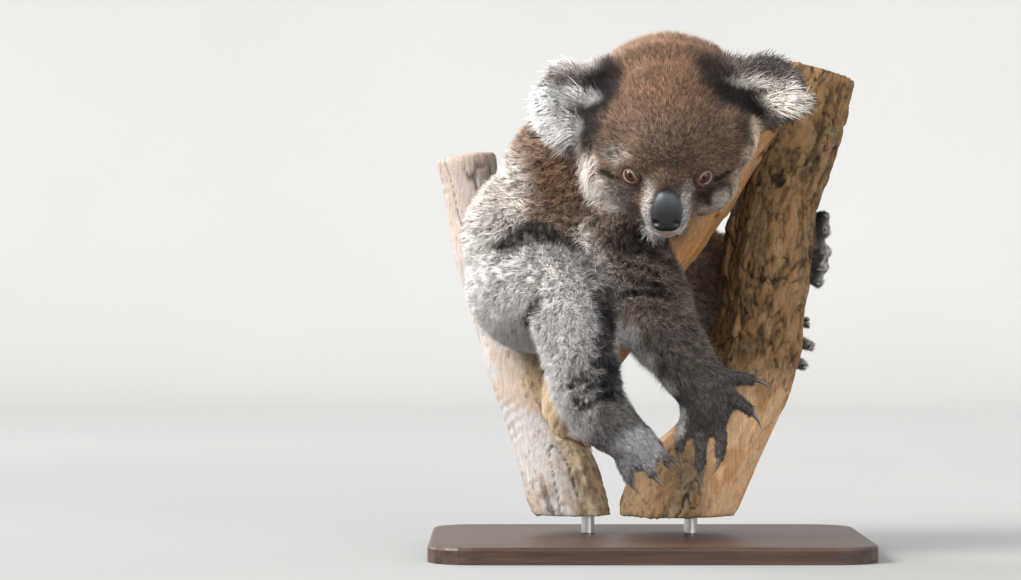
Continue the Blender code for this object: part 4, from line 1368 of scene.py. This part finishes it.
def make_nose():
    _, faces, local = ball(72, 96, np.eye(3), 1.0)
    shape = np.sign(local) * np.abs(local) ** NOSE_SQUARE * NOSE_RADII * (1, -1, 1)
    faces = faces[:, ::-1]
    shape[:, 0] *= 1.0 - 0.14 * (shape[:, 2] / NOSE_RADII[2])
    shape[:, 1] -= 1.4 * np.exp(-(shape[:, 0] / 7) ** 2) * ramp(shape[:, 2], -6, 14)
    front = shape[:, 1] < 0
    hollow = np.zeros(len(shape))
    for sign in (-1, 1):
        away = np.hypot((shape[:, 0] - sign * NOSTRIL[0]) / 3.6, (shape[:, 2] - NOSTRIL[1]) / 2.8)
        tail = np.hypot((shape[:, 0] - sign * 13.0) / 2.6, (shape[:, 2] - NOSTRIL[1] - 2.2) / 1.6)
        dip = np.maximum(1 - ramp(away, 0.1, 1.45), 0.5 * (1 - ramp(tail, 0.2, 1.4)))
        shape[:, 1] += front * 3.0 * dip
        hollow = np.maximum(hollow, dip)
    groove = np.exp(-(shape[:, 0] / 1.1) ** 2) * (1 - ramp(shape[:, 2], -13, -6))
    shape[:, 1] += front * 1.1 * groove
    tone = rgb(24, 24, 22) * (0.6 + 0.8 * noise(shape, 1.5, 41))[:, None]
    # painted sheen: the top of the pad is lighter and bluer, as if lit from above
    painted_sheen = ramp(shape[:, 2], -5, 12) * (0.3 + 0.7 * rough_noise(shape, 4, 3, 42))
    tone = tone + painted_sheen[:, None] * (rgb(60, 68, 76) - tone)
    # painted shade in the nostril hollows, and the pad darker along its top edge
    tone *= (1 - 0.75 * hollow)[:, None] * (1 - 0.6 * ramp(shape[:, 2], 15, 19))[:, None]
    place = (shape + NOSE_DEEP) @ NOSE_TURN.T + NOSE
    mesh = mesh_from_arrays("nose_pad", place * MM, faces)
    shade_smooth(mesh)
    paint(mesh, tone)
    return show("nose_pad", mesh, NOSE_LEATHER, "nose_leather", "nose")


def make_nose_leather():
    shader = Shader("nose_leather", Roughness=0.4, Specular_IOR_Level=0.4)
    places = shader.places()
    shader.colour(shader.ramp(shader.noise(places, 1.2, 3.0), (0.3, grey(0.7)), (0.7, grey(1.0))))
    cells = shader.node("TexVoronoi", Vector=places, Scale=1.1)
    shader.bump(cells.outputs["Distance"], 0.25, 0.6)
    return shader.material


NOSE_LEATHER = make_nose_leather()
nose_pad = make_nose()
print("nose:", len(nose_pad.data.polygons), "faces")

# %% [markdown]
# ## Claws
# The solids of the claws are coarse hooks, already in the right places. Drawing them again would
# only move them, so subdivision rounds them, and their colour runs from dark horn at the root to a
# paler, ambered point.

# %% Claws
def make_claw(name):
    solid = frame["nodes"][name]
    draft = add_object("draft", solid.data.copy())
    work = bmesh.new()
    work.from_mesh(draft.data)
    bmesh.ops.remove_doubles(work, verts=work.verts, dist=0.02 * MM)
    work.to_mesh(draft.data)
    work.free()
    rounder = draft.modifiers.new("round", "SUBSURF")
    rounder.levels = rounder.render_levels = 2
    mesh = bpy.data.meshes.new_from_object(draft.evaluated_get(bpy.context.evaluated_depsgraph_get()))
    bpy.data.objects.remove(draft)
    mesh.name = "horn_" + name
    shade_smooth(mesh)
    points = points_of(mesh) / MM
    low = ramp(points[:, 2], points[:, 2].min(), points[:, 2].max())[:, None]
    tone = rgb(58, 56, 56) * low + rgb(96, 84, 74) * (1 - low)
    paint(mesh, tone * (0.8 + 0.4 * noise(points, 1.5, 51))[:, None])
    return show(mesh.name, mesh, HORN, "claw", name)


def make_horn():
    shader = Shader("horn", Roughness=0.28, Specular_IOR_Level=0.6)
    streak = shader.ramp(shader.noise(shader.places(), 0.8, 3.0), (0.3, grey(0.65)), (0.7, grey(1.0)))
    shader.colour(streak)
    shader.bump(shader.noise(shader.places(), 0.6, 2.0), 0.08, 0.5)
    return shader.material


HORN = make_horn()
claws = [make_claw(name) for name in frame["nodes"] if name.startswith("claw_")]
print("claws:", len(claws))

# %% [markdown]
# ## The perch
# The koala lies in a fork of an old gum. One limb is pale and smooth, with fine cracks and the
# ripples of a healed wound. The trunk keeps its old bark in plates, and drops flakes that show
# orange wood. Between them a torn branch runs up behind the body. A bump in the material would look
# flat at the outline, so each is a dense mesh, pushed out and in by noise drawn out along the grain.

# %% Lines down the middle of the perch
PERCH = {
    "perch_trunk": [(18, 30, -10), (40, 30, 62), (76, 31, 112), (99, 32, 160), (108, 32, 204), (116, 32, 272),
                    (128, 34, 341), (154, 38, 409), (171, 40, 476)],
    "perch_limb": [(-62, 28, -10), (-82, 42, 67), (-103, 56, 120), (-127, 76, 187), (-150, 91, 257),
                   (-166, 97, 322), (-177, 101, 396)],
    "perch_branch": [(-74, 44, 72), (-84, 47, 117), (-73, 38, 156), (-55, 27, 189), (-33, 16, 220),
                     (-8, 8, 255), (20, 5, 293), (54, 8, 343), (82, 14, 383), (108, 24, 410), (141, 36, 430)],
}
PERCH_VOXEL = {"perch_trunk": 1.85, "perch_limb": 2.3, "perch_branch": 2.0}
print("perch lines:", {name: len(line) for name, line in PERCH.items()})


# %% Places along the grain
def along_line(line, points):
    """Coordinates of wood: two across the grain, and the run along it, with the grain's direction."""
    way, share = line_direction(line, points)
    line = np.array(line, float)
    steps = np.linalg.norm(np.diff(line, axis=0), axis=1)
    run = share * steps.sum()
    middle = np.column_stack([np.interp(run, np.append(0, np.cumsum(steps)), line[:, k]) for k in range(3)])
    off = points - middle
    off -= np.sum(off * way, axis=1, keepdims=True) * way
    return off, run, way


def rough_wood(name):
    """A dense eased copy of a perch solid, with its points, normals, and places along the grain."""
    points, _, faces = solid_points(name)
    mesh = remeshed(points, faces, PERCH_VOXEL[name])
    points, edges = points_of(mesh), edges_of(mesh)
    _, run, way = along_line(PERCH[name], points)
    cut = np.abs(np.sum(normals_of(mesh) * way, axis=1)) > 0.8
    kept = points.copy()
    points = smoothed(points, edges, 14)
    held = smoothed(cut.astype(float), edges, 2)[:, None] * (points[:, 2:] < 50)
    points += held * (kept - points)
    set_points(mesh, points)
    off, run, way = along_line(PERCH[name], points)
    return mesh, points, unit(smoothed(normals_of(mesh), edges, 2)), off, run, way


def step_up(values, edge, width=0.02):
    return ramp(values, edge - width, edge + width)


def cut_face(normals, way):
    """1 on the sawn ends, whose faces look along the grain."""
    return ramp(np.abs(np.sum(normals * way, axis=1)), 0.8, 0.93)


def rings(off, seed):
    """Growth rings on a sawn end."""
    radius = np.linalg.norm(off, axis=1) + 2.4 * rough_noise(off, 14, 2, seed)
    band = 0.5 + 0.5 * np.cos(radius * 2 * math.pi / 2.6)
    return rgb(196, 158, 112) * (0.62 + 0.38 * band)[:, None]


stretches = np.linalg.norm(np.diff(PERCH["perch_trunk"], axis=0), axis=1)
print("the trunk's line is", round(stretches.sum()), "mm long")

# %% Bark of the trunk
def trunk_bark(off, run, points):
    """Height in millimetres and colour of plated bark."""
    drawn = np.column_stack([off[:, 0], off[:, 1], run * 0.42])
    warp = (rough_noise(drawn, 16, 2, 61) - 0.5)[:, None] * 12
    drawn = drawn + warp
    broad = rough_noise(drawn, 26, 3, 62)
    plates = rough_noise(drawn, 13, 3, 63)
    small = rough_noise(drawn, 5.5, 3, 64)
    grain = rough_noise(np.column_stack([off[:, 0], off[:, 1], run * 0.12]), 3.0, 3, 68)
    old = ramp(points[:, 2] + 60 * (broad - 0.5), 118, 190)       # the old bark ends low on the trunk
    fork = (1 - ramp(points[:, 0] + 30 * (plates - 0.5), 40, 66)) * (1 - ramp(points[:, 2], 84, 112))
    rough = np.maximum(old, fork)
    flake = step_up(plates, 0.6, 0.015) * (0.25 + 0.75 * rough)
    low_plate = step_up(small, 0.52, 0.03)
    crack = ramp(veins(drawn, 13, 65), 0.94, 0.99) * ramp(rough_noise(points, 18, 2, 69), 0.44, 0.56)
    height = 2.0 * (broad - 0.5) + 1.5 * flake + 0.8 * low_plate * rough - 2.4 * crack * (0.2 + 0.8 * rough)
    height += 1.7 * (rough_noise(drawn, 3.4, 2, 66) - 0.5) * rough + 0.6 * (grain - 0.5)
    flake_tone = rgb(150, 116, 82) * (0.8 + 0.4 * small)[:, None]
    under = rgb(128, 99, 66) * (0.35 + 1.3 * rough_noise(drawn, 3.6, 3, 70))[:, None]
    under += ramp(broad, 0.44, 0.62)[:, None] * 0.5 * (rgb(160, 124, 84) - under)
    under *= (1 - 0.55 * ramp(rough_noise(drawn, 6, 3, 60), 0.54, 0.64))[:, None]
    wood = rgb(232, 190, 146) * (0.66 + 0.6 * grain)[:, None]
    wood += ramp(plates, 0.5, 0.64)[:, None] * 0.5 * (rgb(206, 142, 88) - wood)
    tone = wood + rough[:, None] * (under - wood)
    tone += fork[:, None] * 0.4 * (rgb(156, 142, 118) * (0.5 + small)[:, None] - tone)
    tone += (flake * 0.8)[:, None] * (flake_tone - tone)
    net = ramp(veins(drawn + warp * 0.3, 6.5, 86), 0.9, 0.975) * rough * (1 - 0.7 * flake)
    height -= 0.9 * net
    # painted shade in the cracks and in the fine net of cracks
    tone *= (1 - 0.8 * crack * (0.2 + 0.8 * rough))[:, None] * (1 - 0.5 * net)[:, None]
    lichen = ramp(rough_noise(points, 9, 3, 67), 0.64, 0.72) * old
    tone += 0.18 * lichen[:, None] * (rgb(186, 176, 146) - tone)
    return height, tone


print("surface of the trunk is ready")

# %% Bark of the limb
def olive_bark(points, grain):
    """The brown and olive crust on the shaded side of the limb."""
    fleck = ramp(rough_noise(points * (1, 1, 0.4), 4, 3, 79), 0.5, 0.66)
    tone = rgb(208, 184, 152) * (0.5 + 0.9 * grain)[:, None]
    return tone * (1 - 0.5 * fleck)[:, None]


def olive_side(off, points, broad):
    low = 1 - ramp(points[:, 2] + 50 * (broad - 0.5), 190, 236)
    return ramp(off[:, 0] + 30 * (broad - 0.5), -6, 12) * low


def limb_bark(off, run, points):
    """Height and colour of pale smooth bark."""
    drawn = np.column_stack([off[:, 0], off[:, 1], run * 0.16])
    broad = rough_noise(points, 38, 3, 71)
    grain = rough_noise(drawn, 4.5, 3, 72)
    long_crack = ramp(veins(drawn, 24, 73), 0.965, 0.99) * ramp(rough_noise(points, 40, 2, 74), 0.45, 0.6)
    ripple = np.sin(run * 0.62 + 7 * rough_noise(points, 30, 2, 75))
    ripple = ripple * ramp(rough_noise(points, 44, 2, 76), 0.55, 0.7)
    low = 1 - ramp(points[:, 2] + 40 * (broad - 0.5), 30, 150)
    scab = step_up(rough_noise(points, 8, 3, 77), 0.6, 0.03) * low
    height = 3.0 * (broad - 0.5) + 0.8 * (grain - 0.5) + 0.45 * ripple - 1.5 * long_crack + 0.8 * scab
    tone = rgb(196, 189, 185) * (0.8 + 0.36 * grain)[:, None]
    tone += (0.5 * ramp(broad, 0.52, 0.7))[:, None] * (rgb(190, 160, 132) - tone)
    tone += (0.45 * ramp(run, 210, 420))[:, None] * (rgb(186, 160, 140) - tone)
    tone += olive_side(off, points, broad)[:, None] * (olive_bark(points, grain) - tone)
    tone += (0.5 * scab)[:, None] * (rgb(140, 114, 86) - tone)
    pits = ramp(rough_noise(points, 5, 2, 78), 0.74, 0.8)
    # painted shade in the long cracks and in the pits
    tone *= (1 - 0.6 * long_crack - 0.3 * pits)[:, None]
    return height - 0.7 * pits, tone


print("surface of the limb is ready")

# %% Wood of the branch
def branch_bark(off, run, points):
    """Height and colour of torn, fibrous wood."""
    drawn = np.column_stack([off[:, 0], off[:, 1], run * 0.12])
    fibre = rough_noise(drawn, 3.6, 3, 81)
    broad = rough_noise(drawn, 18, 3, 82)
    split = ramp(veins(drawn, 11, 83), 0.93, 0.985)
    strip = step_up(rough_noise(drawn, 9, 2, 84), 0.56, 0.02)
    height = 2.4 * (broad - 0.5) + 1.5 * (fibre - 0.5) + 1.2 * strip - 2.0 * split
    tone = rgb(196, 142, 90) * (0.5 + 0.95 * fibre)[:, None]
    tone += (0.5 * strip)[:, None] * (rgb(176, 142, 106) * (0.7 + 0.5 * fibre)[:, None] - tone)
    # painted shade in the splits
    tone *= (1 - 0.7 * split)[:, None]
    crust = 1 - ramp(points[:, 2] + 30 * (broad - 0.5), 158, 196)     # it grows out of the limb's crust
    tone += crust[:, None] * (olive_bark(points, fibre) - tone)
    return height * (1 - 0.5 * crust), tone


print("surface of the branch is ready")

# %% Material of bark and wood
def make_wood_material(name, rough):
    shader = Shader(name, Roughness=rough, Specular_IOR_Level=0.25)
    places = shader.places()
    speck = shader.ramp(shader.noise(places, 1.4, 5.0, 0.6), (0.3, grey(0.72)), (0.68, grey(1.0)))
    grain = shader.noise(shader.stretched(places, (1, 1, 0.06)), 1.7, 5.0, 0.65)
    streak = shader.ramp(grain, (0.36, grey(0.6)), (0.56, grey(1.0)))
    shader.colour(streak, 0.75, shader.mix("MULTIPLY", 1.0, shader.paint(), speck))
    shader.bump(shader.noise(places, 0.9, 4.0, 0.6), 0.45, 0.8)
    return shader.material


WOOD = {"bark": make_wood_material("bark_wood", 0.85),
        "pale_wood": make_wood_material("pale_wood_grain", 0.7)}
print("wood materials:", list(WOOD))

# %% Shape the perch
BARKS = {"perch_trunk": (trunk_bark, "bark"), "perch_limb": (limb_bark, "pale_wood"),
         "perch_branch": (branch_bark, "bark")}
SAWN_BELOW = 15.9       # the wood is sawn off level above the base
WOOD_SHADE = 0.84


def make_perch(name):
    bark, slot = BARKS[name]
    mesh, points, normals, off, run, way = rough_wood(name)
    height, tone = bark(off, run, points)
    ends = cut_face(normals, way)
    height *= 1 - ends
    tone += ends[:, None] * (rings(off, 91) - tone)
    # bark doesn't grow into the animal that lies on it
    height = np.minimum(height, np.maximum(nearest(flesh_tree, points)[0] - 1.5, -0.5))
    points = points + normals * height[:, None]
    points[:, 2] = np.maximum(points[:, 2], SAWN_BELOW)
    set_points(mesh, points * MM)
    shade_smooth(mesh)
    paint(mesh, tone * WOOD_SHADE)
    mesh.name = name.replace("perch", "bark")
    return show(mesh.name, mesh, WOOD[slot], slot, name)


perch = [make_perch(name) for name in PERCH]
print("perch:", {piece.name: len(piece.data.polygons) for piece in perch})

# %% [markdown]
# ## The stand
# The base is a stained board and the rods are brushed steel. Their solids are already right, so
# they are shown as they are and only take a material. The grain of the board is noise drawn out
# along its length, which needs no image and never repeats.

# %% Base and rods
def make_board():
    shader = Shader("stained_board", Roughness=0.45, Specular_IOR_Level=0.4)
    places = shader.stretched(shader.places(), (0.05, 1, 1))
    warped = shader.noise(places, 9, 6.0, 0.65)
    fine = shader.noise(shader.stretched(shader.places(), (0.03, 1, 1)), 1.2, 3.0)
    grain = shader.ramp(warped, (0.3, rgb(38, 27, 22)), (0.5, rgb(66, 47, 37)), (0.72, rgb(84, 62, 48)))
    pores = shader.ramp(fine, (0.35, grey(0.6)), (0.6, grey(1.0)))
    shader.colour(pores, 0.8, grain)
    shader.bump(fine, 0.15, 0.4)
    return shader.material


def make_steel():
    shader = Shader("brushed_steel", Metallic=1.0, Roughness=0.32)
    brushed = shader.noise(shader.stretched(shader.places(), (1, 1, 14)), 1.5, 3.0)
    shade = shader.ramp(brushed, (0.3, grey(0.42)), (0.7, grey(0.62)))
    shader.put(shader.surface.inputs["Base Color"], shade)
    shader.bump(brushed, 0.03, 0.5)
    return shader.material


def finish_node(name, material):
    solid = frame["nodes"][name]
    solid.data.materials.clear()
    solid.data.materials.append(material)


BOARD, STEEL = make_board(), make_steel()
finish_node("stand_base", BOARD)
for rod in ("stand_rod_limb", "stand_rod_trunk"):
    finish_node(rod, STEEL)
print("stand finished")

# %% [markdown]
# ## Camera, floor and light
# The camera stands level with the animal and well back, with a long lens, so that head and limbs
# keep their proportions. Floor and wall are one sheet that sweeps up, because a corner would draw a
# line behind the model. Three soft lamps light it: a key from the left, a rim from behind, and a
# weak fill from the right. They would burn out the floor beneath them, so its paint is darker there.

# %% Camera
LENS, SENSOR = 116.9, 36.0


def make_camera():
    camera = add_object("camera", bpy.data.cameras.new("camera"))
    camera.data.lens = LENS
    camera.data.sensor_width = SENSOR
    camera.location = (-0.1325, -3.2, 0.2528)
    camera.rotation_euler = (math.radians(90), 0, 0)
    bpy.context.scene.camera = camera


make_camera()
print("camera: lens", LENS)

# %% Light, in metres and watts
LAMPS = {       # place, size and watts
    "key": ((-2.2, -1.0, 1.9), 1.5, 163),
    "rim": ((-1.7, 1.5, 1.3), 1.2, 60),
    "fill": ((1.8, -2.4, 1.2), 2.0, 42),
}
LIT_POINT = (0, 0, 0.3)


def add_lamp(name, place, size, watts, colour):
    lamp = add_object(name, bpy.data.lights.new(name, "AREA"))
    lamp.data.shape = "DISK"
    lamp.data.size = size
    lamp.data.energy = watts
    lamp.data.color = colour
    lamp.location = place
    lamp.rotation_euler = (Vector(LIT_POINT) - Vector(place)).to_track_quat("-Z", "Y").to_euler()


def make_sky():
    world = bpy.data.worlds.new("studio")
    world.use_nodes = True
    sky = world.node_tree.nodes["Background"]
    sky.inputs["Color"].default_value = (1.0, 0.99, 0.97, 1)
    sky.inputs["Strength"].default_value = 1.15
    bpy.context.scene.world = world


make_sky()
for name, lamp in LAMPS.items():
    add_lamp(name, *lamp, (1, 0.985, 0.96) if name == "key" else (1, 1, 1))
bpy.context.scene.view_settings.view_transform = "Standard"
print("lamps:", list(LAMPS))

# %% Floor and wall in one sweep, in metres
FLOOR_SIZE = 12.0
SWEEP_START, SWEEP_RADIUS, WALL_TOP = 4.0, 1.2, 6.0
BRIGHT_FLOOR = 2.4      # where the light times the paint would pass this, the paint is darker
SKY_LIGHT = 3.3


def floor_light(points):
    """How much light the lamps and the sky throw on the floor at the points."""
    total = np.full(len(points), SKY_LIGHT)
    for place, _, watts in LAMPS.values():
        path = points - place
        far = np.linalg.norm(path, axis=1)
        leaving = np.clip(path @ unit(np.subtract(LIT_POINT, place)) / far, 0, 1)
        total += watts / math.pi * leaving * place[2] / far**3
    return total


def sweep_profile():
    """The sheet from the side: (y, z) from the front edge of the floor to the top of the wall."""
    flat = [(-FLOOR_SIZE / 2, 0)] + [(y, 0) for y in np.arange(-3, SWEEP_START + 0.1, 0.25)]
    curve = [(SWEEP_START + SWEEP_RADIUS * math.sin(a), SWEEP_RADIUS - SWEEP_RADIUS * math.cos(a))
             for a in np.linspace(0.1, math.pi / 2, 12)]
    return flat + curve + [(SWEEP_START + SWEEP_RADIUS, WALL_TOP)]


def make_backdrop():
    profile = sweep_profile()
    columns = np.linspace(-FLOOR_SIZE / 2, FLOOR_SIZE / 2, 49)
    points = np.array([(x, y, z) for x in columns for y, z in profile])
    count = len(profile)
    faces = np.array([(c + k, c + k + 1, c + count + k + 1, c + count + k)
                      for c in range(0, count * (len(columns) - 1), count) for k in range(count - 1)])
    mesh = mesh_from_arrays("backdrop", points, faces)
    shade_smooth(mesh)
    tone = np.minimum(0.37 + 0.35 * ramp(points[:, 1], 0.8, 4.6), BRIGHT_FLOOR / floor_light(points))
    paint(mesh, tone[:, None] * np.ones(3))
    shader = Shader("backdrop_paint", Roughness=0.9, Specular_IOR_Level=0.1)
    mottle = shader.ramp(shader.noise(shader.places(), 900), (0.3, grey(0.96)), (0.7, grey(1.0)))
    shader.colour(mottle)
    mesh.materials.append(shader.material)
    add_object("backdrop", mesh)


make_backdrop()
print("backdrop:", FLOOR_SIZE, "m wide")
